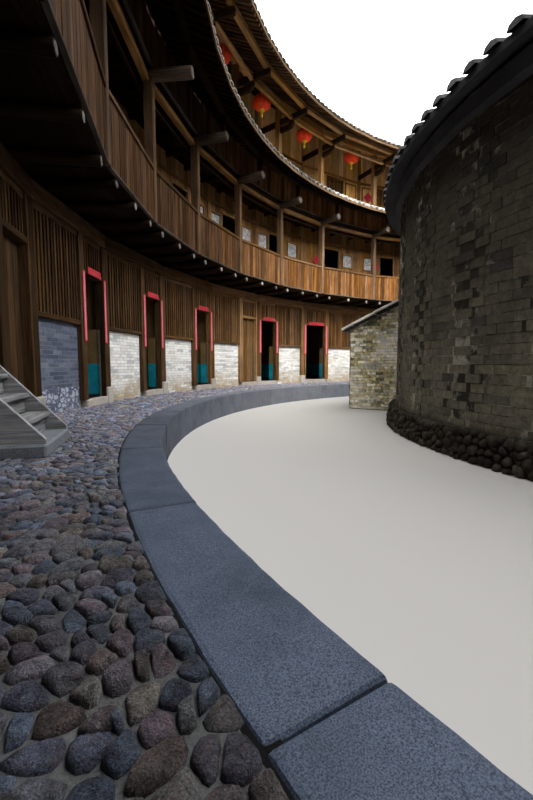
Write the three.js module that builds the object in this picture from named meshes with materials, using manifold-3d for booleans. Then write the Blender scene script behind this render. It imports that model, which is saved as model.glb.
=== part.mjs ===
// Double-ring earthen roundhouse: a three-storey ring of timber galleries inside a
// rammed-earth wall, with a low round brick building and a small annex in its court.
// Millimetres, +Z up. The origin is the centre of the rings at the level of the court.
import * as THREE from 'three';
import { mergeVertices } from 'three/addons/utils/BufferGeometryUtils.js';
import Module from 'manifold-3d';

const wasm = await Module();
wasm.setup();

const degree = Math.PI / 180;
const gap = 0.3;

// Bays of the ring: two wide ones on the Y axis and fifteen plain ones on each side
const wideBay = 13.5;
const plainBay = (180 - wideBay) / 15;
const bayCount = 32;
const splitBay = 1;
const gateBay = 16;
const stairBay = 6;
const stairBayExtra = 1.65;
const plankDoorBay = 2;

// Levels, measured up from the court
const walkway = 400;
const thresholdTop = walkway + 120;
const dadoTop = walkway + 1222;
const doorHead = walkway + 2000;
const lintelUnder = walkway + 2557;
const lintelTop = walkway + 2750;
const secondFloor = walkway + 2950;
const secondParapetTop = walkway + 3796;
const secondPostHead = walkway + 5086;
const thirdFloor = walkway + 5330;
const thirdParapetTop = walkway + 6130;
const thirdPostHead = walkway + 7420;

const footingTop = 900;
const footingStep = 330;

// Radii of the big ring
const kerbInner = 9430;
const kerbOuter = 9750;
const galleryFace = 10100;
const frontFace = 10980;
const earthInner = 14750;
const earthOuterFoot = 15950;
const earthOuterTop = 15650;
const beyondWall = 17000;

// Roofs: radii of the eaves and ridge, the slope, and the underside at the inner eave
const topEave = 8900;
const ridgeRadius = 13300;
const outerEave = 17650;
const roofSlope = 0.5;
const roofThickness = 130;
const topEaveUnder = walkway + 7470;
const waistEave = 9050;
const waistEaveUnder = walkway + 5490;
const waistSlope = 0.45;

// Timber sizes
const postWidth = 160;
const kitchenPostDepth = 110;
const boardThickness = 40;
const galleryPostWidth = 150;
const parapetThickness = 42;
const parapetDrop = 22;
const secondDeck = 60;
const thirdDeck = 54;
const logHalf = 82;
const logEnd = 14600;
const bigLogHalf = 94;
const bigLogTip = 9450;
const seatDepth = 2;

// Gallery posts stand behind the parapet boards, room walls behind the kitchen fronts
const postFront = galleryFace + parapetThickness + gap;
const postFace = galleryFace - 25;
const postBack = galleryFace + parapetThickness + galleryPostWidth;
const roomWallFace = frontFace + 70;
const roomWallBack = frontFace + 130;
const dadoFace = frontFace + 80;
const dadoBack = frontFace + 320;
const partitionHalf = 50;
const partitionStart = frontFace + 180 + gap;

// Openings of the upper rooms, measured up from their floor
const roomDoorSill = 80;
const roomDoorHead = 1750;
const roomWindowSill = 1240;
const roomWindowHead = 1660;
const shutRoomWindowHead = 1820;
const earthWindowHalf = 300;
const earthWindowSill = 950;
const earthWindowHead = 1750;

// Inner round building and its annex
const innerWallOuter = 6120;
const innerWallThickness = 320;
const innerYardWall = 4100;
const yardWallThickness = 240;
const innerDoorHalf = 650;
const innerDoorSill = 150;
const innerDoorHead = walkway + 2100;
const innerRoofThickness = 140;
const innerEave = 6380;
const innerEaveUnder = walkway + 3480;
const innerRidge = 5000;
const innerSlope = 0.35;
const annexStart = -79.5;
const annexEnd = -65.3;
const annexOuter = 7430;
const annexWallThickness = 300;
const annexSlope = 0.42;
const annexEaveUnder = walkway + 1450;

// Stair from the walkway to the second floor
const stairAngle = -17.8;
const stairWidth = 730;
const stairFoot = 10340;
const stairHead = 13030;
const stairBaseFront = 10215;
const stairBaseHalf = 400;
const stairBaseHeight = 100;
const stairBoard = 50;
const wellMargin = 60;
const wellStart = 11320;
const stairRisers = 18;

function finish(color, roughness, metalness = 0) {
  return new THREE.MeshStandardMaterial({ color, roughness, metalness });
}

const finishes = {
  timber: () => finish(0x6b4526, 0.75),
  sunlitTimber: () => finish(0x9a6230, 0.7),
  brick: () => finish(0x8a8a86, 0.9),
  darkBrick: () => finish(0x4d4843, 0.92),
  stone: () => finish(0x6f6d6b, 0.85),
  earth: () => finish(0xb08a5a, 0.95),
  tile: () => finish(0x4a4a4a, 0.8),
  door: () => finish(0xb07a35, 0.65),
};

// Bay edges, counted anticlockwise from the start of the hall bay
function edgeAngle(k) {
  const turn = Math.floor(k / 16);
  const i = k - 16 * turn;
  const extra = k === stairBay + 1 ? stairBayExtra : 0;
  return -90 - wideBay / 2 + 180 * turn + (i === 0 ? 0 : wideBay + (i - 1) * plainBay) + extra;
}

function bayMiddle(k) {
  return (edgeAngle(k) + edgeAngle(k + 1)) / 2;
}

function halfBay(k) {
  return (edgeAngle(k + 1) - edgeAngle(k)) / 2;
}

function edges(from, to) {
  const list = [];
  for (let k = from; k <= to; k += 1) {
    list.push(edgeAngle(k));
  }
  return list;
}

function edgesAndMiddles(from, to) {
  const list = [];
  for (let k = from; k < to; k += 1) {
    list.push(edgeAngle(k), bayMiddle(k));
  }
  list.push(edgeAngle(to));
  return list;
}

function evenAngles(count, from = 0, to = 360) {
  return Array.from({ length: count + 1 }, (_, i) => from + ((to - from) * i) / count);
}

function polar(radius, angle) {
  return new THREE.Vector2(radius * Math.cos(angle * degree), radius * Math.sin(angle * degree));
}

// Closed solids
function solid(geometry) {
  geometry.deleteAttribute('normal');
  geometry.deleteAttribute('uv');
  const merged = mergeVertices(geometry, 1e-4);
  return new wasm.Manifold(new wasm.Mesh({
    numProp: 3,
    vertProperties: new Float32Array(merged.attributes.position.array),
    triVerts: new Uint32Array(merged.index.array),
  }));
}

function joined(solids) {
  return solids.reduce((sum, next) => sum.add(next));
}

function without(body, cuts) {
  return cuts.reduce((rest, cut) => rest.subtract(cut), body);
}

function extruded(points, depth) {
  return new THREE.ExtrudeGeometry(new THREE.Shape(points), { depth, bevelEnabled: false, steps: 1 });
}

// Part of a ring with straight chords between the angles
function sector(angles, inner, outer, bottom, top) {
  const trim = (gap / 2 / inner) / degree;
  const turned = angles.map((angle, i) => {
    if (i === 0) {
      return angle + trim;
    }
    return i === angles.length - 1 ? angle - trim : angle;
  });
  const points = turned.map((angle) => polar(outer, angle));
  points.push(...turned.reverse().map((angle) => polar(inner, angle)));
  return solid(extruded(points, top - bottom).translate(0, 0, bottom));
}

// Whole ring with any profile of [radius, height] points, anticlockwise, and a corner at each angle
function ring(profile, angles) {
  const corners = angles.length - 1;
  const points = [...profile, profile[0]].map(([radius, height]) => new THREE.Vector2(radius, height));
  const geometry = new THREE.LatheGeometry(points, corners).rotateX(Math.PI / 2);
  const place = geometry.attributes.position;
  for (let i = 0; i < place.count; i += 1) {
    const radius = Math.hypot(place.getX(i), place.getY(i));
    const corner = Math.floor(i / points.length) % corners;
    const spot = polar(radius, angles[corner]);
    place.setXYZ(i, spot.x, spot.y, place.getZ(i));
  }
  return outward(geometry);
}

function outward(geometry) {
  const body = solid(geometry.clone());
  if (body.volume() > 0) {
    return body;
  }
  const index = geometry.index;
  for (let i = 0; i < index.count; i += 3) {
    const second = index.getX(i + 1);
    index.setX(i + 1, index.getX(i + 2));
    index.setX(i + 2, second);
  }
  return solid(geometry);
}

// Upright box in the turned frame of an angle: radius, sideways offset and height
function radialBox(angle, radii, sides, heights) {
  const box = new THREE.BoxGeometry(radii[1] - radii[0], sides[1] - sides[0], heights[1] - heights[0]);
  box.translate((radii[0] + radii[1]) / 2, (sides[0] + sides[1]) / 2, (heights[0] + heights[1]) / 2);
  return solid(box.rotateZ(angle * degree));
}

// Box on the chord of a bay, with sideways offsets from the bay's first post
function bayBox(k, radii, sides, heights) {
  const half = halfBay(k) * degree;
  const start = frontFace * Math.sin(half);
  const shrunk = radii.map((radius) => radius * Math.cos(half));
  return radialBox(bayMiddle(k), shrunk, sides.map((side) => side - start), heights);
}

function bayLength(k) {
  return 2 * frontFace * Math.sin(halfBay(k) * degree);
}

// Radial outline of [radius, height] points, given a thickness across
function radialPlate(angle, outline, thickness) {
  const points = outline.map(([radius, height]) => new THREE.Vector2(radius, height));
  const plate = extruded(points, thickness).translate(0, 0, -thickness / 2);
  return solid(plate.rotateX(Math.PI / 2).rotateZ(angle * degree));
}

// Six-sided log lying on a radius, flat at the top and the bottom
function radialLog(angle, sideways, radii, height, half) {
  const log = new THREE.CylinderGeometry(half / Math.cos(30 * degree), half / Math.cos(30 * degree),
    radii[1] - radii[0], 6);
  log.rotateZ(Math.PI / 2).rotateX(30 * degree);
  log.translate((radii[0] + radii[1]) / 2, sideways, height);
  return solid(log.rotateZ(angle * degree));
}

const house = new THREE.Group();

function place(name, body, material) {
  const mesh = body.getMesh();
  const geometry = new THREE.BufferGeometry();
  geometry.setAttribute('position', new THREE.BufferAttribute(new Float32Array(mesh.vertProperties), 3));
  geometry.setIndex(new THREE.BufferAttribute(new Uint32Array(mesh.triVerts), 1));
  const piece = new THREE.Mesh(geometry, material);
  piece.name = name;
  house.add(piece);
}

const halves = [
  { side: 'east', from: splitBay, to: splitBay + 16 },
  { side: 'west', from: splitBay + 16, to: splitBay + 32 },
];

const quarters = [
  { side: 'south_east', from: splitBay, to: splitBay + 8 },
  { side: 'north_east', from: splitBay + 8, to: splitBay + 16 },
  { side: 'north_west', from: splitBay + 16, to: splitBay + 24 },
  { side: 'south_west', from: splitBay + 24, to: splitBay + 32 },
];

const wholeRing = edgesAndMiddles(0, bayCount);

function baysOf(part) {
  return Array.from({ length: part.to - part.from }, (_, i) => part.from + i);
}

// Stretch of a bay counted from its last post
function fromLastPost(k, [near, far]) {
  return [bayLength(k) - far, bayLength(k) - near];
}

// Ground-floor doorway: beside the first post of a bay or beside its last one
function doorway(k) {
  const stretch = k % gateBay === 0 ? [150, 1010] : [120, 780];
  const atLastPost = k === 1 || k % bayCount === 0 || (k > gateBay && k < bayCount - 1);
  return atLastPost ? fromLastPost(k, stretch) : stretch;
}

// Upper rooms: a doorway and a window a bay, mirrored on the west side
function alongRoom(k, stretch) {
  return k > gateBay && k < bayCount ? fromLastPost(k, stretch) : stretch;
}

function roomDoor(k) {
  return k % gateBay === 0 ? [940, 1600] : alongRoom(k, [1000, 1600]);
}

// On the third floor the rooms over the hall and beside it have shut doors and a taller window
function isShut(k, floor) {
  return floor === thirdFloor && [31, 0, 1, 2].includes(k % bayCount);
}

// Two bays in every four have a second window on the second floor
function roomWindows(k, floor) {
  if (isShut(k, floor)) {
    return [alongRoom(k, [800, 1500])];
  }
  const windows = [alongRoom(k, [280, 720])];
  if (floor === secondFloor && (k % 4 === 1 || k % 4 === 2)) {
    windows.push(alongRoom(k, [1700, 2060]));
  }
  return windows;
}

// Undersides of the top roof
function innerUnder(radius) {
  return topEaveUnder + roofSlope * (radius - topEave);
}

function outerUnder(radius) {
  return innerUnder(ridgeRadius) - roofSlope * (radius - ridgeRadius);
}

// Top of a straight beam between posts that stays clear of the roof at its middle
function beamTopUnderRoof(radius) {
  return innerUnder(radius * Math.cos((wideBay / 2) * degree)) - gap;
}

// Walkway and kerb
function kerb() {
  return ring([[kerbInner, 0], [kerbOuter, 0], [kerbOuter, walkway], [kerbInner, walkway]],
    edges(0, bayCount));
}

function walkwayPlinth(part) {
  const back = earthInner * Math.cos((plainBay / 2) * degree);
  return sector(edges(part.from, part.to), kerbOuter + gap, back, 0, walkway);
}

// Outer wall of rammed earth on its stone footing
const gateWidth = 1640;
const gateHeight = 2500;
const surroundWidth = 260;

function gateCut(radii, extra, top) {
  const reach = gateWidth / 2 + extra;
  return radialBox(90, radii, [-reach, reach], [-1, top]);
}

function stoneFooting() {
  const body = ring([
    [earthInner, 0],
    [earthOuterFoot + 40, 0],
    [earthOuterFoot + 20, footingTop],
    [earthInner, footingTop],
  ], wholeRing);
  return body.subtract(gateCut([earthInner - 100, beyondWall], surroundWidth + gap, footingTop + 1));
}

function earthRing() {
  const foot = footingTop + gap;
  return ring([
    [earthInner, foot],
    [earthOuterFoot, foot],
    [earthOuterTop, outerUnder(earthOuterTop) - gap],
    [earthInner, outerUnder(earthInner) - gap],
  ], wholeRing);
}

function earthWindow(k) {
  return radialBox(bayMiddle(k), [earthInner - 750, beyondWall], [-earthWindowHalf, earthWindowHalf],
    [thirdFloor + earthWindowSill, thirdFloor + earthWindowHead]);
}

function earthWall(part) {
  const wedge = sector(edgesAndMiddles(part.from, part.to), earthInner - 200, beyondWall, 0, 10500);
  const cuts = baysOf(part).map(earthWindow);
  const gateTop = walkway + gateHeight + surroundWidth + gap;
  cuts.push(gateCut([earthInner - 100, beyondWall], surroundWidth + gap, gateTop));
  return without(earthRing().intersect(wedge), cuts);
}

function gateSurround() {
  const outer = gateWidth / 2 + surroundWidth;
  const inner = gateWidth / 2;
  const top = walkway + gateHeight;
  const stepDepth = 420;
  const radii = [earthInner + gap, earthOuterFoot + 90];
  return joined([
    radialBox(90, radii, [-outer, -inner], [0, top + surroundWidth]),
    radialBox(90, radii, [inner, outer], [0, top + surroundWidth]),
    radialBox(90, radii, [-outer, outer], [top, top + surroundWidth]),
    radialBox(90, radii, [-outer, outer], [0, walkway]),
    radialBox(90, [earthOuterFoot, earthOuterFoot + stepDepth], [-outer, outer], [0, walkway / 2]),
  ]);
}

// Wall between two ground-floor rooms, on the line of the posts
function roomPartition(k) {
  return radialBox(edgeAngle(k), [partitionStart, earthInner - 3], [-partitionHalf, partitionHalf],
    [walkway + gap, secondFloor - secondDeck - gap]);
}

// Brick panels under the slatted fronts, tied by the threshold stones and the walls between the rooms
function brickDado(part) {
  const bays = baysOf(part).filter((k) => k !== gateBay);
  const first = bays[0];
  const last = bays[bays.length - 1] + 1;
  const body = sector(edges(first, last), dadoFace, dadoBack, walkway + gap, dadoTop);
  const reach = postWidth / 2 + gap;
  const notches = edges(first, last).map((angle) => {
    return radialBox(angle, [frontFace - 100, frontFace + kitchenPostDepth + gap], [-reach, reach],
      [walkway, dadoTop + 1]);
  });
  const openings = bays.map((k) => {
    const [start, end] = k === stairBay ? [reach, bayLength(k) - reach] : doorway(k);
    return bayBox(k, [frontFace, dadoBack + 180], [start, end], [thresholdTop, dadoTop + 1]);
  });
  const nextPartition = radialBox(edgeAngle(part.to), [partitionStart - gap, dadoBack + gap],
    [-partitionHalf - gap, partitionHalf + gap], [walkway, dadoTop + 1]);
  const panels = without(body, [...notches, ...openings, nextPartition]);
  return joined([panels, ...baysOf(part).map(roomPartition)]);
}

// Timber fronts of the ground-floor rooms: posts, lintel beam and the boards behind the slats
function kitchenFront(part) {
  const bays = baysOf(part);
  const boardFace = frontFace + kitchenPostDepth - seatDepth;
  const boardBack = frontFace + kitchenPostDepth + boardThickness;
  const posts = bays.map((k) => radialBox(edgeAngle(k), [frontFace, frontFace + kitchenPostDepth],
    [-postWidth / 2, postWidth / 2], [walkway + gap, lintelUnder + seatDepth]));
  const lintel = sector(edges(part.from, part.to), frontFace - 20, frontFace + 180, lintelUnder, lintelTop);
  const walled = bays.filter((k) => k !== gateBay);
  const boards = sector(edges(walled[0], walled[walled.length - 1] + 1), boardFace, boardBack,
    dadoTop + gap, lintelUnder + seatDepth);
  const through = [frontFace + 20, frontFace + 400];
  const openings = walled.map((k) => {
    const [start, end] = k === stairBay ? [0, bayLength(k)] : doorway(k);
    return bayBox(k, through, [start, end], [dadoTop, doorHead]);
  });
  const jambStart = doorway(stairBay)[1] + 5;
  const jambWidth = 70;
  const well = bayBox(stairBay, through,
    [jambStart + 55, bayLength(stairBay) - postWidth / 2], [dadoTop, lintelUnder - 60]);
  const reach = postWidth / 2 + gap;
  const seam = radialBox(edgeAngle(part.to), [frontFace - gap, frontFace + kitchenPostDepth + gap],
    [-reach, reach], [walkway, lintelUnder + seatDepth + gap]);
  const jamb = bayBox(stairBay, [frontFace + 60, boardBack], [jambStart, jambStart + jambWidth],
    [thresholdTop + gap, lintelUnder + seatDepth]);
  const extra = part.side === 'east' ? [jamb] : [];
  return joined([lintel.subtract(seam), without(boards, [...openings, well, seam]), ...posts, ...extra]);
}

// Floors of the two upper storeys on their radial logs
function secondFloorLogs(k) {
  const height = lintelTop + gap + logHalf;
  const step = bayLength(k) / 3;
  return [-step, 0, step].map((side) => {
    return radialLog(bayMiddle(k), side, [galleryFace - 40, logEnd], height, logHalf);
  });
}

function stairWell() {
  const side = stairWidth / 2 + wellMargin;
  return radialBox(stairAngle, [wellStart, stairHead + gap], [-side, side],
    [lintelTop - 200, secondFloor + 50]);
}

function secondGalleryFloor(part) {
  const deck = sector(edges(part.from, part.to), postFront, earthInner - gap, secondFloor - secondDeck,
    secondFloor);
  const floor = joined([deck, ...baysOf(part).flatMap(secondFloorLogs)]);
  return part.side === 'east' ? floor.subtract(stairWell()) : floor;
}

function thirdGalleryFloor(part) {
  return sector(edges(part.from, part.to), postFront, earthInner - gap, thirdFloor - thirdDeck, thirdFloor);
}

// Boarded parapets. On the second floor the posts stand proud of the boards.
function parapet(part, bottom, top) {
  return sector(edges(part.from, part.to), galleryFace, galleryFace + parapetThickness, bottom, top);
}

function secondParapet(part) {
  const [bottom, top] = [secondFloor - parapetDrop, secondParapetTop];
  const half = galleryPostWidth / 2;
  const radii = [postFace, galleryFace + parapetThickness / 2];
  const fronts = baysOf(part).map((k) => radialBox(edgeAngle(k), radii, [-half, half], [bottom + 3, top - 3]));
  const seam = radialBox(edgeAngle(part.to), [postFace - gap, radii[1] + gap], [-half - gap, half + gap],
    [bottom - 1, top + 1]);
  return joined([parapet(part, bottom, top).subtract(seam), ...fronts]);
}

// Gallery posts, head beam and the big logs that reach out under the waist eave
function galleryPost(k, foot, rail, head) {
  return radialPlate(edgeAngle(k), [
    [postFront, foot + gap], [postBack, foot + gap], [postBack, head],
    [postFace, head], [postFace, rail + gap], [postFront, rail + gap],
  ], galleryPostWidth);
}

function secondGalleryFrame(part) {
  const angles = edges(part.from, part.to);
  const beamTop = thirdFloor - thirdDeck - gap;
  const beam = sector(angles, postFront, galleryFace + 190, secondPostHead, beamTop);
  const head = secondPostHead + seatDepth;
  const posts = baysOf(part).map((k) => galleryPost(k, secondFloor, secondParapetTop, head));
  const logAxis = beamTop - bigLogHalf;
  const logBack = postFront + 60;
  const logs = baysOf(part).map((k) => radialLog(edgeAngle(k), 0, [bigLogTip, logBack], logAxis, bigLogHalf));
  const logReach = bigLogHalf / Math.cos(30 * degree) + gap;
  const seam = radialBox(edgeAngle(part.to), [galleryFace - 100, logBack + gap], [-logReach, logReach],
    [logAxis - bigLogHalf - gap, thirdFloor]);
  const postReach = galleryPostWidth / 2 + gap;
  const postSeam = radialBox(edgeAngle(part.to), [galleryFace - 100, galleryFace + 400],
    [-postReach, postReach], [secondPostHead - 1, secondPostHead + seatDepth + gap]);
  return joined([without(beam, [seam, postSeam]), ...posts, ...logs]);
}

// Board walls of the upper rooms, with a doorway and one or two windows in each bay
function roomWall(part, floor, head) {
  const boards = sector(edges(part.from, part.to), roomWallFace, roomWallBack, floor + gap, head);
  const radii = [frontFace, frontFace + 300];
  const holes = baysOf(part).flatMap((k) => {
    const doors = isShut(k, floor) ? [] : [roomDoor(k)];
    const levels = [floor + roomWindowSill, floor + (isShut(k, floor) ? shutRoomWindowHead : roomWindowHead)];
    return [
      ...doors.map((stretch) => bayBox(k, radii, stretch, [floor + roomDoorSill, floor + roomDoorHead])),
      ...roomWindows(k, floor).map((stretch) => bayBox(k, radii, stretch, levels)),
    ];
  });
  return without(boards, holes);
}

function secondRoomWall(part) {
  return roomWall(part, secondFloor, thirdFloor - thirdDeck - gap);
}

function thirdRoomWall(part) {
  return roomWall(part, thirdFloor, beamTopUnderRoof(frontFace));
}

// Waist eave
function waistUnder(radius) {
  return waistEaveUnder + waistSlope * (radius - waistEave);
}

function waistRoof(part) {
  const back = galleryFace - gap;
  const slab = ring([
    [waistEave, waistEaveUnder],
    [back, waistUnder(back)],
    [back, waistUnder(back) + roofThickness],
    [waistEave, waistEaveUnder + roofThickness],
  ], wholeRing);
  const [below, above] = [waistEaveUnder - 500, thirdParapetTop + 500];
  const wedge = sector(edgesAndMiddles(part.from, part.to), waistEave - 1000, frontFace, below, above);
  const behind = sector(edges(part.from, part.to), back, frontFace, below, above);
  return slab.intersect(wedge).subtract(behind);
}

// Third-storey posts, each with two tiers of bracket arms, tied by a purlin under the roof
const bracketThickness = 110;
const purlinRadii = [9290, 9410];

function bracketPost(k) {
  const wallSide = roomWallFace - (bracketThickness / 2) * Math.tan((wideBay / 2) * degree) - gap;
  const front = postFront;
  const back = front + galleryPostWidth;
  const low = thirdPostHead - 250;
  const lowTip = galleryFace - 400;
  const high = thirdPostHead - 40;
  const highTop = high + 140;
  const highTip = purlinRadii[0] - 30;
  const head = innerUnder(front) - gap;
  return radialPlate(edgeAngle(k), [
    [front, thirdFloor + gap], [back, thirdFloor + gap], [back, high], [wallSide, high],
    [wallSide, highTop], [back, highTop], [back, head], [front, head],
    [front, highTop], [highTip, highTop], [highTip + 40, high], [front, high],
    [front, low + 130], [lowTip + 120, low + 130], [lowTip, low + 200],
    [lowTip + 30, low + 50], [lowTip + 160, low], [front, low],
  ], bracketThickness);
}

function thirdGalleryFrame(part) {
  const [near, far] = [postFront, postFront + 120];
  const top = beamTopUnderRoof(near);
  const tie = sector(edges(part.from, part.to), near, far, top - 240, top);
  const reach = bracketThickness / 2 + gap;
  const seam = radialBox(edgeAngle(part.to), [galleryFace, galleryFace + 300], [-reach, reach],
    [thirdFloor, top + 100]);
  return joined([tie.subtract(seam), ...baysOf(part).map(bracketPost)]);
}

// Purlin on the upper bracket arms, just under the eave
function eavePurlin() {
  const foot = thirdPostHead + 100 + gap;
  const [near, far] = purlinRadii;
  const top = beamTopUnderRoof(near);
  return ring([[near, foot], [far, foot], [far, top], [near, top]], edges(0, bayCount));
}

// Top roof: two slopes and a ridge
function topRoofSlope(part, outer) {
  const under = outer ? outerUnder : innerUnder;
  const low = outer ? outerEave : topEave;
  const high = outer ? ridgeRadius + gap / 2 : ridgeRadius - gap / 2;
  const [near, far] = outer ? [high, low] : [low, high];
  const slab = ring([
    [near, under(near)],
    [far, under(far)],
    [far, under(far) + roofThickness],
    [near, under(near) + roofThickness],
  ], wholeRing);
  const wedge = sector(edgesAndMiddles(part.from, part.to), topEave - 900, outerEave + 900,
    thirdFloor, 12000);
  return slab.intersect(wedge);
}

function ridgeRing() {
  const reach = 170;
  const height = 170;
  const top = innerUnder(ridgeRadius) + roofThickness + gap;
  const foot = top - roofSlope * reach;
  return ring([
    [ridgeRadius - reach, foot],
    [ridgeRadius, top],
    [ridgeRadius + reach, foot],
    [ridgeRadius, top + height],
  ], wholeRing);
}

// Round one-storey building in the court
const innerAngles = evenAngles(32);

function innerUnderside(radius) {
  return innerEaveUnder + innerSlope * (innerEave - innerRidge - Math.abs(radius - innerRidge));
}

function innerDoor(angle, radii) {
  return radialBox(angle, radii, [-innerDoorHalf, innerDoorHalf], [innerDoorSill, innerDoorHead]);
}

function innerOuterWall() {
  const inside = innerWallOuter - innerWallThickness;
  const body = ring([
    [inside, 0],
    [innerWallOuter, 0],
    [innerWallOuter, innerUnderside(innerWallOuter) - gap],
    [inside, innerUnderside(inside) - gap],
  ], innerAngles);
  return body.subtract(innerDoor(90, [innerRidge, innerWallOuter + 900]));
}

function innerYardSideWall() {
  const inside = innerYardWall - yardWallThickness;
  const body = ring([
    [inside, 0],
    [innerYardWall, 0],
    [innerYardWall, innerUnderside(innerYardWall) - gap],
    [inside, innerUnderside(inside) - gap],
  ], innerAngles);
  return without(body, [90, -90].map((angle) => innerDoor(angle, [innerYardWall - 1000, innerRidge])));
}

function innerRoof() {
  const inEave = 2 * innerRidge - innerEave;
  const top = innerUnderside(innerRidge);
  return ring([
    [inEave, innerEaveUnder],
    [innerRidge, top],
    [innerEave, innerEaveUnder],
    [innerEave, innerEaveUnder + innerRoofThickness],
    [innerRidge, top + innerRoofThickness],
    [inEave, innerEaveUnder + innerRoofThickness],
  ], innerAngles);
}

function innerFooting() {
  const body = ring([
    [innerWallOuter + gap, 0],
    [innerWallOuter + 130, 0],
    [innerWallOuter + 60, footingStep],
    [innerWallOuter + gap, footingStep],
  ], innerAngles);
  const annexFoot = sector([annexStart - 0.5, annexEnd + 0.5], innerWallOuter - 100, annexOuter, -1, walkway);
  return without(body, [innerDoor(90, [innerWallOuter - 100, annexOuter]), annexFoot]);
}

// Annex against the inner building
function annexUnder(radius) {
  return annexEaveUnder + annexSlope * (annexOuter - radius);
}

function annexWalls() {
  const back = innerWallOuter + gap;
  const top = annexUnder(back);
  const outerWall = sector([annexStart, annexEnd], annexOuter - annexWallThickness, annexOuter, 0, top);
  const sideOutline = [[back, 0], [annexOuter, 0], [annexOuter, top], [back, top]];
  const inset = (annexWallThickness / 2 / annexOuter) / degree;
  const sides = [annexStart + inset, annexEnd - inset].map((angle) => {
    return radialPlate(angle, sideOutline, annexWallThickness);
  });
  const door = radialBox(annexStart + inset, [back + 280, back + 930], [-300, 300], [120, walkway + 1350]);
  const [near, far, sky] = [back - 1000, annexOuter + 600, 9000];
  const above = radialPlate((annexStart + annexEnd) / 2, [
    [near, annexUnder(near) - gap], [far, annexUnder(far) - gap], [far, sky], [near, sky],
  ], 4000);
  return without(joined([outerWall, ...sides]), [door, above]);
}

function annexRoof() {
  const back = innerWallOuter + gap;
  const front = annexOuter + 120;
  const thickness = 90;
  const sideOverhang = 130;
  const length = (annexEnd - annexStart) * degree * annexOuter + 2 * sideOverhang;
  const slab = radialPlate((annexStart + annexEnd) / 2, [
    [back, annexUnder(back)], [front, annexUnder(front)],
    [front, annexUnder(front) + thickness], [back, annexUnder(back) + thickness],
  ], length);
  return slab.subtract(ring([[10, 0], [back, 0], [back, innerEaveUnder], [10, innerEaveUnder]], innerAngles));
}

// Stair
function stairBase() {
  return radialBox(stairAngle, [stairBaseFront, frontFace - 60], [-stairBaseHalf, stairBaseHalf],
    [walkway + gap, walkway + stairBaseHeight]);
}

function stairFlight() {
  const foot = walkway + stairBaseHeight + gap;
  const rise = (secondFloor - foot) / stairRisers;
  const run = (stairHead - stairFoot) / stairRisers;
  const slope = rise / run;
  const depth = 250;
  const stringer = [
    [stairFoot, foot], [stairFoot + depth / slope, foot], [stairHead, secondFloor - depth],
    [stairHead, secondFloor + 40], [stairFoot, foot + 60],
  ];
  const boards = [-1, 1].map((side) => {
    const across = side * (stairWidth - stairBoard) / 2;
    return radialPlate(0, stringer, stairBoard).translate([0, across, 0]).rotate([0, 0, stairAngle]);
  });
  const treadHalf = stairWidth / 2 - 20;
  const nosing = 30;
  const treads = Array.from({ length: stairRisers - 1 }, (_, i) => {
    const front = stairFoot + run * i + 5;
    const top = foot + rise * (i + 1);
    return radialBox(stairAngle, [front, front + run + nosing], [-treadHalf, treadHalf], [top - 40, top]);
  });
  return joined([...boards, ...treads]);
}

// Plank door leaf with its pivot pins, beside the first post of a bay
function doorLeaf(k) {
  const [start, end] = doorway(k);
  const [hingeGap, latchGap, leafGap, pinRadius] = [14, 8, 10, 14];
  const half = boardThickness / 2;
  const middle = frontFace + kitchenPostDepth + half;
  const leaf = bayBox(k, [middle - half, middle + half], [start + hingeGap, end - latchGap],
    [thresholdTop + leafGap, doorHead - leafGap]);
  const pinLength = doorHead - thresholdTop - 2 * gap;
  const pin = new THREE.CylinderGeometry(pinRadius, pinRadius, pinLength, 8).rotateX(Math.PI / 2);
  const side = start + hingeGap + half - bayLength(k) / 2;
  pin.translate(middle * Math.cos(halfBay(k) * degree), side, (doorHead + thresholdTop) / 2);
  return leaf.add(solid(pin.rotateZ(bayMiddle(k) * degree)));
}

place('court_kerb', kerb(), finishes.stone());
place('stone_footing', stoneFooting(), finishes.stone());
place('gate_surround', gateSurround(), finishes.stone());
quarters.forEach((part) => place(`earth_wall_${part.side}`, earthWall(part), finishes.earth()));
halves.forEach((part) => {
  place(`walkway_plinth_${part.side}`, walkwayPlinth(part), finishes.stone());
  place(`brick_dado_${part.side}`, brickDado(part), finishes.brick());
  place(`kitchen_front_${part.side}`, kitchenFront(part), finishes.timber());
  place(`second_floor_${part.side}`, secondGalleryFloor(part), finishes.timber());
  place(`second_parapet_${part.side}`, secondParapet(part), finishes.sunlitTimber());
  place(`second_frame_${part.side}`, secondGalleryFrame(part), finishes.sunlitTimber());
  place(`second_room_wall_${part.side}`, secondRoomWall(part), finishes.timber());
  place(`third_floor_${part.side}`, thirdGalleryFloor(part), finishes.timber());
  place(`third_parapet_${part.side}`, parapet(part, thirdFloor - parapetDrop, thirdParapetTop),
    finishes.timber());
  place(`third_frame_${part.side}`, thirdGalleryFrame(part), finishes.sunlitTimber());
  place(`third_room_wall_${part.side}`, thirdRoomWall(part), finishes.timber());
  place(`waist_eave_${part.side}`, waistRoof(part), finishes.tile());
  place(`inner_slope_${part.side}`, topRoofSlope(part, false), finishes.tile());
  place(`outer_slope_${part.side}`, topRoofSlope(part, true), finishes.tile());
});
place('eave_purlin', eavePurlin(), finishes.sunlitTimber());
place('roof_ridge', ridgeRing(), finishes.tile());
place('inner_ring_wall', innerOuterWall(), finishes.darkBrick());
place('inner_yard_wall', innerYardSideWall(), finishes.darkBrick());
place('inner_ring_roof', innerRoof(), finishes.tile());
place('inner_ring_footing', innerFooting(), finishes.stone());
place('annex_walls', annexWalls(), finishes.stone());
place('annex_roof', annexRoof(), finishes.stone());
place('stair_base', stairBase(), finishes.stone());
place('stair_flight', stairFlight(), finishes.timber());
place('plank_door', doorLeaf(plankDoorBay), finishes.door());
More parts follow.
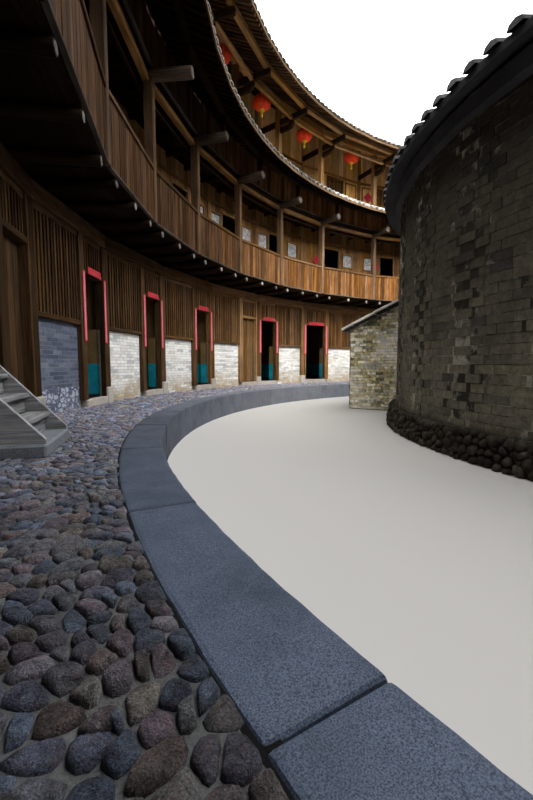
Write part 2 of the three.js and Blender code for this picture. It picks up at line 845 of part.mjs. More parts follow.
place('stair_bay_door', doorLeaf(stairBay), finishes.timber());

export default house;
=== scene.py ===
# Looks of the round earthen house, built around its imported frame. Metres, in the frame of the part.
from itertools import product
from math import atan, cos, pi, radians, sin, tan

import bpy
import numpy as np
from mathutils import Matrix, Vector


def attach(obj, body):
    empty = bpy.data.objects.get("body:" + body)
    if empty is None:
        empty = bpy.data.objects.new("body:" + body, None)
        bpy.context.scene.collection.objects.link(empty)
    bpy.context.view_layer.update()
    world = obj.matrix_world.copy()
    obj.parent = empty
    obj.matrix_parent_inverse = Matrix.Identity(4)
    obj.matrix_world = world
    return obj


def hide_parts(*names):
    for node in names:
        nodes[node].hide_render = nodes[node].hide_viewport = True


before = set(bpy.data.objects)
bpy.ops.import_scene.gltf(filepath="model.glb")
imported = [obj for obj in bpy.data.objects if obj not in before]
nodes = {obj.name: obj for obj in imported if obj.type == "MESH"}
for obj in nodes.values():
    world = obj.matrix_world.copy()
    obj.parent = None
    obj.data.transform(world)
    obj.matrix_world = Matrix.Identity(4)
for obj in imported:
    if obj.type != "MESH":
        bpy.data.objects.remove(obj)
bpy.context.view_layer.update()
rng = np.random.default_rng(7)

# Bays, levels and radii, as in the part's source
BAYS = 32
GATE_BAY = 16
STAIR_BAY = 6
PLANK_BAY = 2
WIDE = radians(13.5)
PLAIN = radians(11.1)

WALKWAY = 0.4
THRESHOLD = 0.52
DADO_TOP = 1.622
DOOR_HEAD = 2.4
LINTEL = (2.957, 3.15)
SECOND = 3.35
SECOND_RAIL = 4.196
SECOND_HEAD = 5.486
THIRD = 5.73
THIRD_RAIL = 6.53
THIRD_HEAD = 7.82

KERB = (9.43, 9.75)
GALLERY = 10.1
POST_FRONT = 10.1423
FRONT = 10.98
EARTH_IN = 14.75
EAVE = 8.9
RIDGE = 13.3
OUTER_EAVE = 17.65
ROOF_SLOPE = 0.5
EAVE_UNDER = 7.87
WAIST = 9.05
WAIST_UNDER = 5.89
WAIST_SLOPE = 0.45
INNER_WALL = 6.12
YARD_WALL = 3.86
INNER_EAVE = 6.38
INNER_UNDER = 3.88
INNER_RIDGE = 5.0
INNER_SLOPE = 0.35
ANNEX = (radians(-79.5), radians(-65.3), 7.43)
ANNEX_SLOPE = 0.42
STAIR_ANGLE = radians(-17.8)
STAIR_FOOT = 10.34
STAIR_HEAD = 13.03
STAIR_WELL = (11.32, 0.425)
STAIR_BASE = 0.5
STAIR_WIDENING = radians(1.65)
RISERS = 18
JAMB = 0.15
BASE_TOP = 0.67
SLAT_PITCH = 0.079
POST_HALF = 0.055
POST_FACE = GALLERY - 0.02
JOIST_FOOT = 5.6757


def edge(k):
    turn, i = divmod(k, BAYS // 2)
    widened = STAIR_WIDENING if k == STAIR_BAY + 1 else 0
    return -pi / 2 - WIDE / 2 + pi * turn + (0 if i == 0 else WIDE + (i - 1) * PLAIN) + widened


def middle(k):
    return (edge(k) + edge(k + 1)) / 2


def half_bay(k):
    return (edge(k + 1) - edge(k)) / 2


def bay_length(k, radius=FRONT):
    return 2 * radius * sin(half_bay(k))


def from_last(k, stretch):
    return bay_length(k) - stretch[1], bay_length(k) - stretch[0]


def doorway(k):
    stretch = (0.15, 1.01) if k % GATE_BAY == 0 else (0.12, 0.78)
    at_last = k == 1 or k % BAYS == 0 or GATE_BAY < k < BAYS - 1
    return from_last(k, stretch) if at_last else stretch


def along_room(k, stretch):
    return from_last(k, stretch) if GATE_BAY < k < BAYS else stretch


def is_shut(k, floor):
    """Top rooms over the hall, seen with their doors shut."""
    return floor == THIRD and (k + 1) % BAYS <= 3


def room_openings(k, floor):
    """Side and height stretches of an upper room's doorway and windows."""
    if is_shut(k, floor):
        return [("bars", along_room(k, (0.8, 1.5)), (floor + 1.24, floor + 1.82))]
    door = (0.94, 1.6) if k % GATE_BAY == 0 else along_room(k, (1.0, 1.6))
    windows = [along_room(k, (0.28, 0.72))]
    if floor == SECOND and k % 4 in (1, 2):
        windows.append(along_room(k, (1.7, 2.06)))
    found = [("door", door, (floor + 0.08, floor + 1.75))]
    return found + [("window", side, (floor + 1.24, floor + 1.66)) for side in windows]


def roof_under(radius):
    return EAVE_UNDER + ROOF_SLOPE * (RIDGE - EAVE - abs(radius - RIDGE))


def waist_under(radius):
    return WAIST_UNDER + WAIST_SLOPE * (radius - WAIST)


def inner_under(radius):
    return INNER_UNDER + INNER_SLOPE * (INNER_EAVE - INNER_RIDGE - abs(radius - INNER_RIDGE))


def axes(angle, tilt=0.0):
    """Local axes at an angle: outward, tilted up by tilt; along the ring; and upward."""
    out = np.array([cos(angle) * cos(tilt), sin(angle) * cos(tilt), sin(tilt)])
    along = np.array([-sin(angle), cos(angle), 0.0])
    return np.array([out, along, np.cross(out, along)])


def split(low, high, count, gap=0.0):
    """Equal stretches from low to high, each with a gap at both ends."""
    step = (high - low) / count
    return [(low + step * i + gap, low + step * (i + 1) - gap) for i in range(count)]


def chord(k, radii):
    """Distances of a bay's middle from the axis, for radii at its posts."""
    return [radius * cos(half_bay(k)) for radius in radii]


def bands(rings, corners):
    """Faces between closed rings of points that follow each other."""
    ring, i = np.meshgrid(np.arange(rings - 1), np.arange(corners), indexing="ij")
    low, high, j = ring * corners, (ring + 1) * corners, (i + 1) % corners
    return np.stack([low + i, low + j, high + j, high + i], axis=-1).ravel()


def nodes_of(name):
    """The node of a name, or its east and west halves."""
    return [name] if name in nodes else [f"{name}_{side}" for side in ("east", "west")]


def around(angle, radius, height):
    """Points of the ring from arrays of their angles, radii and heights."""
    return np.stack([radius * np.cos(angle), radius * np.sin(angle), height], axis=-1)


def away_from(turn, angle):
    """Size of the turn between two directions."""
    return np.abs((turn - angle + pi) % (2 * pi) - pi)


def linked(name, data):
    made = bpy.data.objects.new(name, data)
    bpy.context.scene.collection.objects.link(made)
    return made


# Small closed forms, joined in one mesh
SIGNS = (-1, 1)
CORNERS = list(product(SIGNS, repeat=3))


def template(points, inset, faces, smooth=False):
    return {
        "points": np.array(points, float),
        "inset": np.array(inset, float),
        "index": np.concatenate([np.array(face) for face in faces]),
        "sizes": np.array([len(face) for face in faces]),
        "smooth": smooth,
    }


def box_template():
    """Box with a chamfer on each edge. Three points at each corner, one for each axis."""
    points = np.repeat(CORNERS, 3, axis=0)
    inset = points * np.tile(1 - np.eye(3), (8, 1))

    def at(signs, turn, axis):
        return CORNERS.index(tuple(np.roll(signs, turn).tolist())) * 3 + axis % 3

    faces = []
    for axis in range(3):
        for sign in SIGNS:
            loop = [at((sign, a, b), axis, axis) for a, b in ((-1, -1), (1, -1), (1, 1), (-1, 1))]
            faces.append(loop[::sign])
        for a, b in product(SIGNS, repeat=2):
            loop = [at((sign, a, b), axis, axis + way) for sign, way in ((-1, 1), (1, 1), (1, 2), (-1, 2))]
            faces.append(loop[::-a * b])
    for i, (x, y, z) in enumerate(CORNERS):
        faces.append([i * 3, i * 3 + 1, i * 3 + 2][::x * y * z])
    return template(points, inset, faces)


def plain_box_template():
    faces = [(0, 1, 3, 2), (4, 6, 7, 5), (0, 4, 5, 1), (2, 3, 7, 6), (0, 2, 6, 4), (1, 5, 7, 3)]
    return template(CORNERS, np.zeros((8, 3)), faces)


def log_template(corners=12):
    """Round log along its first axis, with a chamfer at each end."""
    points, inset = [], []
    for end, ring, i in product(SIGNS, range(2), range(corners)):
        turn = 2 * pi * i / corners
        points.append((end, cos(turn), sin(turn)))
        inset.append((end, 0, 0) if ring == 0 else (0, cos(turn), sin(turn)))
    faces = []
    for a, b in ((corners, 0), (0, 2 * corners), (2 * corners, 3 * corners)):
        for i in range(corners):
            j = (i + 1) % corners
            faces.append((a + j, b + j, b + i, a + i))
    faces.append(tuple(reversed(range(corners, 2 * corners))))
    faces.append(tuple(range(3 * corners, 4 * corners)))
    return template(points, inset, faces, smooth=True)


BOX = box_template()
PLAIN_BOX = plain_box_template()
LOG = log_template()
DISC = log_template(8)


class Forms:
    """Collects closed forms. A form's UV runs along its grain, in metres."""

    def __init__(self):
        self.points, self.index, self.sizes, self.uv, self.smooth = [[] for _ in range(5)]
        self.count = 0

    def add(self, points, index, sizes, uv, smooth):
        self.points.append(points.reshape(-1, 3))
        self.index.append(index.ravel() + self.count)
        self.sizes.append(sizes)
        self.uv.append(uv.reshape(-1, 2))
        self.smooth.append(np.full(len(sizes), smooth))
        self.count += len(self.points[-1])

    def repeat(self, points, index, sizes, uv, smooth):
        """Adds copies of one pattern of faces, with a row of points for each copy."""
        many, size = points.shape[:2]
        self.add(points, index + np.arange(many)[:, None] * size, np.tile(sizes, many), uv, smooth)

    def stamp(self, form, centres, halves, turns, grain=0, bevel=0.004):
        """Places a template many times. The rows of each turn are the form's own axes."""
        centres = np.atleast_2d(centres)
        many = len(centres)
        halves = np.broadcast_to(halves, (many, 3))
        turns = np.broadcast_to(turns, (many, 3, 3))
        bevels = np.minimum(bevel, halves.min(axis=1) * 0.45)[:, None, None]
        local = form["points"] * halves[:, None] - form["inset"] * bevels
        world = centres[:, None] + np.einsum("npi,nij->npj", local, turns)
        across = local[..., (grain + 1) % 3] + local[..., (grain + 2) % 3]
        uv = np.stack([local[..., grain], across], axis=-1) + rng.uniform(0, 40, (many, 1, 2))
        self.repeat(world, form["index"], form["sizes"], uv, form["smooth"])

    def radial(self, angle, radii, sides, heights, grain=0, bevel=0.004, tilt=0.0, form=BOX):
        """Box in the turned frame of an angle. A tilt raises its outer end about its own middle."""
        low, high = np.transpose([radii, sides, heights])
        centre = np.dot((low + high) / 2, axes(angle))
        self.stamp(form, centre, (high - low) / 2, axes(angle, tilt), grain, bevel)

    def bay(self, k, radii, sides, heights, grain=1, bevel=0.004, form=BOX):
        """Box on the chord of a bay, with sideways offsets from the bay's first post."""
        sides = [side - FRONT * sin(half_bay(k)) for side in sides]
        self.radial(middle(k), chord(k, radii), sides, heights, grain, bevel, form=form)

    def beam(self, k, radii, heights, bevel=0.008):
        """Beam over the whole length of a bay."""
        reach = bay_length(k, radii[0]) / 2
        self.radial(middle(k), chord(k, radii), (-reach, reach), heights, 1, bevel)

    def log(self, angle, spot, half, radius, grain=0, bevel=0.006, upright=False):
        """Log at a spot in the turned frame of an angle, lying outward or upright."""
        turn = axes(angle)
        ways = np.roll(turn, 1, axis=0) if upright else turn
        self.stamp(LOG, np.dot(spot, turn), (half, radius, radius), ways, grain, bevel)

    def plate(self, angle, outline, thickness):
        """Radial plate with an outline of (radius, height) points, clockwise or anticlockwise."""
        out, along, up = axes(angle)
        outline = np.array(outline, float)
        flat = outline[:, :1] * out + outline[:, 1:] * up
        points = np.concatenate([flat - along * thickness / 2, flat + along * thickness / 2])
        x, z = outline.T
        way = 1 if np.sum(x * np.roll(z, -1) - np.roll(x, -1) * z) > 0 else -1
        many = len(outline)
        i = np.arange(many)
        j = (i + 1) % many
        quads = np.stack([i, i + many, j + many, j], axis=1)[:, ::way]
        index = np.concatenate([i[::way], i[::-way] + many, quads.ravel()])
        uv = np.tile(outline, (2, 1)) + rng.uniform(0, 40, 2)
        uv[many:, 1] += thickness
        self.add(points, index, np.array([many, many] + [4] * many), uv, False)

    def ring(self, profile, angles):
        """Whole ring with a profile of (radius, height) points, anticlockwise."""
        radii, levels = np.array(profile, float).T
        turns = np.array(angles)[:, None]
        corners, many = len(turns), len(radii)
        points = np.stack([radii * np.cos(turns), radii * np.sin(turns), levels + 0 * turns], axis=-1)
        i, j = np.meshgrid(np.arange(corners), np.arange(many), indexing="ij")
        next_i, next_j = (i + 1) % corners * many, (j + 1) % many
        quads = np.stack([i * many + j, next_i + j, next_i + next_j, i * many + next_j], axis=-1)
        uv = np.stack([turns * radii, radii + levels + 0 * turns], axis=-1)
        self.add(points, quads, np.full(corners * many, 4), uv, False)


def piece(name, forms, material, slot, *replaces, body="house"):
    """Makes one object of the collected forms, on a body of the part."""
    points, index, sizes = [np.concatenate(parts) for parts in (forms.points, forms.index, forms.sizes)]
    starts = np.concatenate([[0], np.cumsum(sizes)[:-1]])
    mesh = bpy.data.meshes.new(name)
    mesh.vertices.add(len(points))
    mesh.vertices.foreach_set("co", points.astype(np.float32).ravel())
    mesh.loops.add(len(index))
    mesh.loops.foreach_set("vertex_index", index.astype(np.int32))
    mesh.polygons.add(len(sizes))
    mesh.polygons.foreach_set("loop_start", starts.astype(np.int32))
    mesh.polygons.foreach_set("use_smooth", np.concatenate(forms.smooth))
    mesh.update(calc_edges=True)
    layer = mesh.uv_layers.new(name="grain")
    layer.data.foreach_set("uv", np.concatenate(forms.uv)[index].astype(np.float32).ravel())
    mesh.materials.append(material)
    made = linked(name, mesh)
    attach(made, body)
    if replaces:
        replaces = [node for part in replaces for node in nodes_of(part)]
        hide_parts(*replaces)


# Materials
class Shader:
    """A node-based material on the Principled shader."""

    def __init__(self, name, roughness=0.7, specular=0.4):
        self.material = bpy.data.materials.new(name)
        self.material.use_nodes = True
        self.tree = self.material.node_tree
        self.surface = self.tree.nodes["Principled BSDF"]
        self.surface.inputs["Roughness"].default_value = roughness
        self.surface.inputs["Specular IOR Level"].default_value = specular
        self.place = self.node("TexCoord").outputs["Object"]
        self.grain = self.node("TexCoord").outputs["UV"]
        self.island = self.node("NewGeometry").outputs["Random Per Island"]

    def node(self, kind, values=None, **settings):
        made = self.tree.nodes.new("ShaderNode" + kind)
        for key, value in settings.items():
            setattr(made, key, value)
        for key, value in (values or {}).items():
            self.feed(made.inputs[key], value)
        return made

    def feed(self, socket, value):
        if isinstance(value, bpy.types.NodeSocket):
            self.tree.links.new(value, socket)
        elif socket.type == "RGBA":
            socket.default_value = (*value[:3], 1.0)
        else:
            socket.default_value = value

    def math(self, operation, one, two=0.5):
        return self.node("Math", {0: one, 1: two}, operation=operation).outputs[0]

    def plus(self, one, two):
        return self.math("ADD", one, two)

    def times(self, one, two):
        return self.math("MULTIPLY", one, two)

    def less(self, one, two):
        return self.math("LESS_THAN", one, two)

    def more(self, one, two):
        return self.math("GREATER_THAN", one, two)

    def shuffled(self, factor):
        """Another random value for each form."""
        return self.math("FRACT", self.times(self.island, factor), 0.0)

    def scaled(self, vector, scale):
        return self.node("Mapping", {"Vector": vector, "Scale": scale}).outputs[0]

    def noise(self, scale, detail, roughness=0.6, distortion=0.0, vector=None):
        values = {"Vector": vector or self.place, "Scale": scale, "Detail": detail, "Roughness": roughness,
                  "Distortion": distortion}
        return self.node("TexNoise", values).outputs[0]

    def cells(self, vector, scale, randomness, output, feature="F1"):
        values = {"Vector": vector, "Scale": scale, "Randomness": randomness}
        return self.node("TexVoronoi", values, feature=feature).outputs[output]

    def stretch(self, value, low, high, new_low=0.0, new_high=1.0):
        values = {0: value, 1: low, 2: high, 3: new_low, 4: new_high}
        return self.node("MapRange", values).outputs[0]

    def ramp(self, factor, stops):
        made = self.node("ValToRGB", {"Fac": factor})
        elements = made.color_ramp.elements
        while len(elements) < len(stops):
            elements.new(0.5)
        for element, (position, color) in zip(elements, stops):
            element.position = position
            element.color = (*color, 1.0)
        return made.outputs[0]

    def mix(self, factor, one, two):
        return self.node("Mix", {0: factor, 6: one, 7: two}, data_type="RGBA").outputs[2]

    def tinted(self, color, value, saturation=1.0):
        values = {"Color": color, "Value": value, "Saturation": saturation}
        return self.node("HueSaturation", values).outputs[0]

    def vary(self, color, factor, low, high, start=0.3, end=0.7):
        """Tints a colour from low to high where a factor goes from start to end."""
        return self.tinted(color, self.stretch(factor, start, end, low, high))

    def stain(self, color, other, factor, start, end, amount):
        """Another colour over it, more of it where a factor is high."""
        return self.mix(self.stretch(factor, start, end, 0.0, amount), color, other)

    def uneven(self, scale, detail, roughness, amount):
        """Noise about zero."""
        noise = self.noise(scale, detail, roughness)
        return self.times(self.math("SUBTRACT", noise, 0.5), amount)

    def height(self):
        return self.node("SeparateXYZ", {0: self.place}).outputs[2]

    def radius(self):
        """Distance from the ring's axis."""
        spot = self.node("SeparateXYZ", {0: self.place})
        flat = self.node("CombineXYZ", {0: spot.outputs[0], 1: spot.outputs[1]}).outputs[0]
        return self.node("VectorMath", {0: flat}, operation="LENGTH").outputs["Value"]

    def southing(self, near, far, low, high):
        """Goes from low to high between two distances from the east-west axis."""
        across = self.math("ABSOLUTE", self.node("SeparateXYZ", {0: self.place}).outputs[1])
        return self.stretch(across, near, far, low, high)

    def finish(self, color, bump=None, strength=0.4, distance=0.01, roughness=None):
        self.feed(self.surface.inputs["Base Color"], color)
        if bump is not None:
            values = {"Height": bump, "Strength": strength, "Distance": distance}
            self.feed(self.surface.inputs["Normal"], self.node("Bump", values).outputs[0])
        if roughness is not None:
            self.feed(self.surface.inputs["Roughness"], roughness)
        return self.material


def between(dark, light):
    return [(a + b) / 2 for a, b in zip(dark, light)]


def wood(name, dark, light, spread=0.35, grime=0.4, grime_color=(0.008, 0.005, 0.003), roughness=0.62,
         painted_sunlight=1.0, sunny=(8.0, 9.95), painted_warmth=1.0):
    """Sawn softwood: long fibres, a tone for each board, grime, and painted sunlight on the sunny parts of
    the ring.
    """
    s = Shader(name, roughness, 0.012)
    fibre = s.noise(1.0, 6.0, 0.65, 0.4, vector=s.scaled(s.grain, (3.0, 90.0, 1.0)))
    band = s.noise(1.0, 3.0, 0.5, 1.2, vector=s.scaled(s.grain, (0.7, 14.0, 1.0)))
    both = s.plus(s.times(fibre, 0.6), s.times(band, 0.4))
    color = s.ramp(both, [(0.38, dark), (0.51, between(dark, light)), (0.63, light)])
    shade = s.stretch(s.island, 0, 1, 1 - spread, 1 + spread)
    color = s.tinted(color, shade, s.stretch(s.shuffled(7.31), 0, 1, 0.84, 1.04))
    color = s.stain(color, grime_color, s.noise(1.7, 6.0, 0.7), 0.42, 0.7, grime)
    # Painted sunlight: lighter, and for some timbers more saturated, towards the north and south bays of the
    # ring.
    if painted_sunlight != 1.0:
        warm = 1.0 if painted_warmth == 1.0 else s.southing(*sunny, 1.0, painted_warmth)
        color = s.tinted(color, s.southing(*sunny, 1.0, painted_sunlight), warm)
    rough = s.stretch(fibre, 0.2, 0.8, roughness - 0.12, roughness + 0.18)
    return s.finish(color, both, 0.55, 0.006, rough)


def masonry(name, colors, stain, stain_amount=0.5, speckle=0.25, roughness=0.86, foot=None, painted_shade=None,
            flakes=None):
    """Bricks or stones: each its own colour out of a few, speckled, with stains over many of them.

    A foot is a colour, its level and reach, and the share of stones that take it. Flakes are a colour and the
    level up to which it is left in blocks. Painted shade goes from a value at one level to a value at
    another.
    """
    s = Shader(name, roughness, 0.1)
    color = s.ramp(s.island, [(i / (len(colors) - 1), color) for i, color in enumerate(colors)])
    fine, coarse = s.noise(90.0, 4.0, 0.7), s.noise(14.0, 6.0, 0.65)
    for spots in (fine, coarse):
        color = s.vary(color, spots, 1 - speckle, 1 + speckle)
    color = s.stain(color, stain, s.noise(1.3, 7.0, 0.68), 0.45, 0.66, stain_amount)
    if foot is not None:
        foot_color, level, reach, share = foot
        ragged = s.plus(s.height(), s.uneven(5.0, 6.0, 0.7, 1.1))
        low = s.stretch(ragged, level + reach, level - reach, 0.0, 0.85)
        color = s.mix(s.times(low, s.less(s.shuffled(17.3), share)), color, foot_color)
    if flakes is not None:
        flake_color, level = flakes
        cells = s.cells(s.scaled(s.place, (1.0, 1.0, 1.3)), 9.0, 0.85, "Distance", "DISTANCE_TO_EDGE")
        low = s.less(s.plus(s.height(), s.uneven(3.0, 4.0, 0.6, 0.4)), level)
        gap = s.more(s.noise(9.0, 4.0, 0.65), 0.47)
        color = s.mix(s.times(s.times(low, gap), s.stretch(cells, 0.07, 0.11)), color, flake_color)
    # Painted light and shade by height.
    if painted_shade is not None:
        color = s.tinted(color, s.stretch(s.height(), *painted_shade))
    return s.finish(color, s.plus(s.times(fine, 0.35), coarse), 0.5, 0.012)


def granite(name, dark, light, stain, scale=260.0, painted_sunlight=1.0):
    """Fine-speckled granite, worn smooth, with faint broad stains."""
    s = Shader(name, 0.7, 0.12)
    grains = s.noise(scale, 2.0, 0.7)
    broad = s.noise(2.6, 7.0, 0.7)
    color = s.ramp(grains, [(0.36, dark), (0.5, between(dark, light)), (0.64, light)])
    color = s.vary(color, s.island, 0.9, 1.1, 0, 1)
    color = s.stain(color, stain, broad, 0.45, 0.75, 0.7)
    # Painted light and shade: lighter and greyer towards north and south, where sun falls, and bluer near the
    # east-west axis, in shade.
    if painted_sunlight != 1.0:
        color = s.tinted(color, s.southing(4.0, 9.0, 1.0, painted_sunlight), s.southing(1.0, 8.0, 1.0, 0.45))
    surface = s.plus(s.times(grains, 0.3), s.noise(24.0, 5.0, 0.6))
    return s.finish(color, surface, 0.35, 0.006, s.stretch(broad, 0.3, 0.7, 0.54, 0.8))


def cobble_finish():
    """River cobbles: slate blue, purple, rust and ochre, each speckled and veined its own way."""
    s = Shader("river_cobbles", 0.6, 0.15)
    kinds = [
        (0.0, (0.05, 0.066, 0.1)), (0.14, (0.083, 0.106, 0.148)), (0.28, (0.064, 0.066, 0.098)),
        (0.42, (0.114, 0.092, 0.086)), (0.55, (0.07, 0.09, 0.122)), (0.68, (0.128, 0.118, 0.105)),
        (0.8, (0.052, 0.056, 0.076)), (0.9, (0.106, 0.084, 0.102)), (1.0, (0.124, 0.138, 0.168)),
    ]
    fine = s.noise(230.0, 3.0, 0.8)
    coarse = s.noise(42.0, 7.0, 0.72, 0.9)
    blotch = s.noise(21.0, 6.0, 0.7, 0.6)
    color = s.ramp(s.island, kinds)
    color = s.vary(color, fine, 0.35, 1.75, 0.34, 0.66)
    color = s.vary(color, blotch, 0.42, 1.65, 0.38, 0.62)
    color = s.stain(color, (0.15, 0.076, 0.048), coarse, 0.53, 0.65, 0.5)
    color = s.stain(color, (0.34, 0.35, 0.36), fine, 0.6, 0.7, 0.5)
    color = s.vary(color, s.shuffled(7.31), 0.65, 1.3, 0, 1)
    color = s.stain(color, (0.15, 0.152, 0.152), s.noise(9.0, 5.0, 0.7), 0.5, 0.75, 0.35)
    # Painted light and shade: darker near the east-west axis, up to 2.6 times lighter towards north and
    # south.
    color = s.tinted(color, s.southing(0.5, 5.0, 0.82, 2.6))
    surface = s.plus(s.times(fine, 0.35), s.plus(coarse, blotch))
    return s.finish(color, surface, 1.0, 0.02, s.stretch(coarse, 0.3, 0.7, 0.5, 0.85))


def earth_floor():
    """Grey lime and grit between the cobbles, dark in the joint beside the kerb."""
    s = Shader("beaten_earth", 0.92, 0.05)
    fine = s.noise(120.0, 6.0, 0.75)
    broad = s.noise(5.0, 6.0, 0.65)
    kinds = [(0.3, (0.122, 0.125, 0.128)), (0.55, (0.198, 0.203, 0.206)), (0.75, (0.26, 0.262, 0.258))]
    color = s.vary(s.ramp(broad, kinds), fine, 0.6, 1.35)
    # Painted light and shade: darker near the east-west axis, lighter towards north and south.
    color = s.tinted(color, s.southing(0.5, 5.0, 0.5, 1.35))
    ragged = s.times(s.noise(14.0, 4.0, 0.7), 0.014)
    joint = s.less(s.radius(), s.plus(ragged, KERB[1] - 0.001))
    color = s.mix(joint, color, (0.008, 0.008, 0.008))
    return s.finish(color, s.plus(fine, broad), 0.7, 0.008)


def rammed_earth():
    """Ochre earth in rammed lifts, with stains under the eave; plastered inside the ground floor's rooms."""
    s = Shader("rammed_earth_wall", 0.93, 0.2)
    lift = s.noise(1.0, 2.0, 0.5, vector=s.scaled(s.place, (0.25, 0.25, 2.4)))
    gravel = s.noise(46.0, 6.0, 0.75)
    broad = s.noise(0.7, 7.0, 0.7)
    kinds = [(0.3, (0.105, 0.07, 0.036)), (0.5, (0.155, 0.108, 0.059)), (0.7, (0.205, 0.155, 0.093))]
    color = s.vary(s.ramp(broad, kinds), lift, 0.8, 1.15, 0.35, 0.65)
    color = s.vary(color, gravel, 0.8, 1.2)
    rows = s.math("FRACT", s.times(s.height(), 2.6), 0.0)
    seam = s.stretch(s.math("ABSOLUTE", s.math("SUBTRACT", rows, 0.5)), 0.46, 0.5, 0.0, 0.5)
    color = s.mix(seam, color, (0.075, 0.05, 0.028))
    runs = s.noise(1.0, 5.0, 0.6, vector=s.scaled(s.place, (1.6, 1.6, 0.16)))
    color = s.stain(color, (0.065, 0.047, 0.032), runs, 0.52, 0.75, 0.55)
    room = s.mix(s.more(s.height(), 1.06), (0.02, 0.3, 0.37), (0.46, 0.33, 0.15))
    inside = s.times(s.less(s.radius(), 14.9), s.less(s.height(), 3.2))
    surface = s.math("SUBTRACT", s.plus(gravel, broad), seam)
    return s.finish(s.mix(inside, color, room), surface, 0.7, 0.03)


def room_plaster():
    """Walls between the rooms: dark skirting, teal dado, ochre above in painted shade; lime mortar at the
    court side.
    """
    s = Shader("room_plaster", 0.85, 0.08)
    level = s.plus(s.height(), s.uneven(8.0, 6.0, 0.7, 0.05))
    broad = s.noise(3.0, 6.0, 0.7)
    fine = s.noise(60.0, 5.0, 0.7)
    teal = s.vary((0.01, 0.23, 0.29), broad, 0.6, 1.4)
    # Painted shade: this ochre is much darker than the rooms' ochre plaster on the earth wall.
    ochre = s.vary((0.16, 0.105, 0.045), broad, 0.7, 1.2)
    color = s.mix(s.more(level, 1.06), teal, ochre)
    color = s.mix(s.less(level, 0.56), color, (0.03, 0.03, 0.034))
    lime = s.vary((0.25, 0.24, 0.22), fine, 0.6, 1.3)
    color = s.mix(s.less(s.radius(), 11.075), color, lime)
    return s.finish(color, fine, 0.4, 0.006)


def mortar(name, pale, dark, level=0.5):
    s = Shader(name, 0.93, 0.05)
    fine = s.noise(50.0, 6.0, 0.7)
    broad = s.noise(2.2, 7.0, 0.7)
    color = s.mix(s.stretch(broad, level - 0.06, level + 0.06), pale, dark)
    return s.finish(s.vary(color, fine, 0.7, 1.3), fine, 0.6, 0.008)


def tile_finish(name, dark, light, dust=(0.24, 0.23, 0.22), painted_sunlight=1.0, sunny=(6.5, 8.9)):
    s = Shader(name, 0.82, 0.1)
    fine = s.noise(70.0, 5.0, 0.7)
    color = s.vary(s.mix(s.island, dark, light), fine, 0.7, 1.3)
    color = s.stain(color, dust, s.noise(1.1, 7.0, 0.7), 0.45, 0.7, 0.55)
    # Painted sunlight: lighter towards the north and south bays, up to six times on the tile ends.
    if painted_sunlight != 1.0:
        color = s.tinted(color, s.southing(*sunny, 1.0, painted_sunlight))
    return s.finish(color, fine, 0.45, 0.006)


def paper(name, color, faded, scale=12.0):
    s = Shader(name, 0.75, 0.1)
    mixed = s.stain(color, faded, s.noise(scale, 6.0, 0.7), 0.4, 0.7, 0.8)
    return s.finish(mixed, s.noise(60.0, 4.0), 0.3, 0.003)


def pane_finish():
    """Patterned window paper: small cells of white, pale blue and pale rose."""
    s = Shader("patterned_panes", 0.7, 0.1)
    tone = s.node("SeparateColor", {0: s.cells(s.place, 16.0, 0.7, "Color")}).outputs[0]
    kinds = [(0.0, (0.72, 0.74, 0.72)), (0.35, (0.3, 0.42, 0.5)), (0.55, (0.8, 0.8, 0.76)),
             (0.75, (0.55, 0.36, 0.34)), (1.0, (0.42, 0.5, 0.4))]
    edges = s.stretch(s.cells(s.place, 16.0, 0.7, "Distance"), 0.02, 0.05)
    color = s.mix(edges, (0.22, 0.2, 0.17), s.ramp(tone, kinds))
    return s.finish(color, s.noise(60.0, 4.0), 0.2, 0.002)


def satin(name, color):
    s = Shader(name, 0.45, 0.2)
    fine = s.noise(80.0, 4.0, 0.7)
    return s.finish(s.vary(color, fine, 0.8, 1.15), fine, 0.2, 0.002)


RESIN = (0.06, 0.03, 0.012)
smoked = wood("smoked_timber", (0.0035, 0.0021, 0.0012), (0.02, 0.0108, 0.0052), 0.45, 0.4, painted_sunlight=2.6)
brown = wood("brown_timber", (0.02, 0.0105, 0.0046), (0.088, 0.047, 0.0195), 0.42, 0.35, painted_sunlight=2.9,
             sunny=(7.0, 10.2), painted_warmth=1.05)
parapet_wood = wood("parapet_timber", (0.0125, 0.0056, 0.0022), (0.078, 0.038, 0.0158), 0.5, 0.3, painted_sunlight=4.3,
                    painted_warmth=1.12)
post_wood = wood("post_timber", (0.036, 0.02, 0.0105), (0.128, 0.076, 0.04), 0.25, 0.35, painted_sunlight=2.6)
golden = wood("golden_timber", (0.09, 0.042, 0.0125), (0.33, 0.175, 0.056), 0.3, 0.3, (0.03, 0.016, 0.008),
              painted_sunlight=1.5)
bright = wood("bright_timber", (0.2, 0.092, 0.022), (0.62, 0.33, 0.105), 0.35, 0.35, RESIN)
wall_wood = wood("wall_timber", (0.128, 0.058, 0.0142), (0.42, 0.218, 0.068), 0.4, 0.35, RESIN)
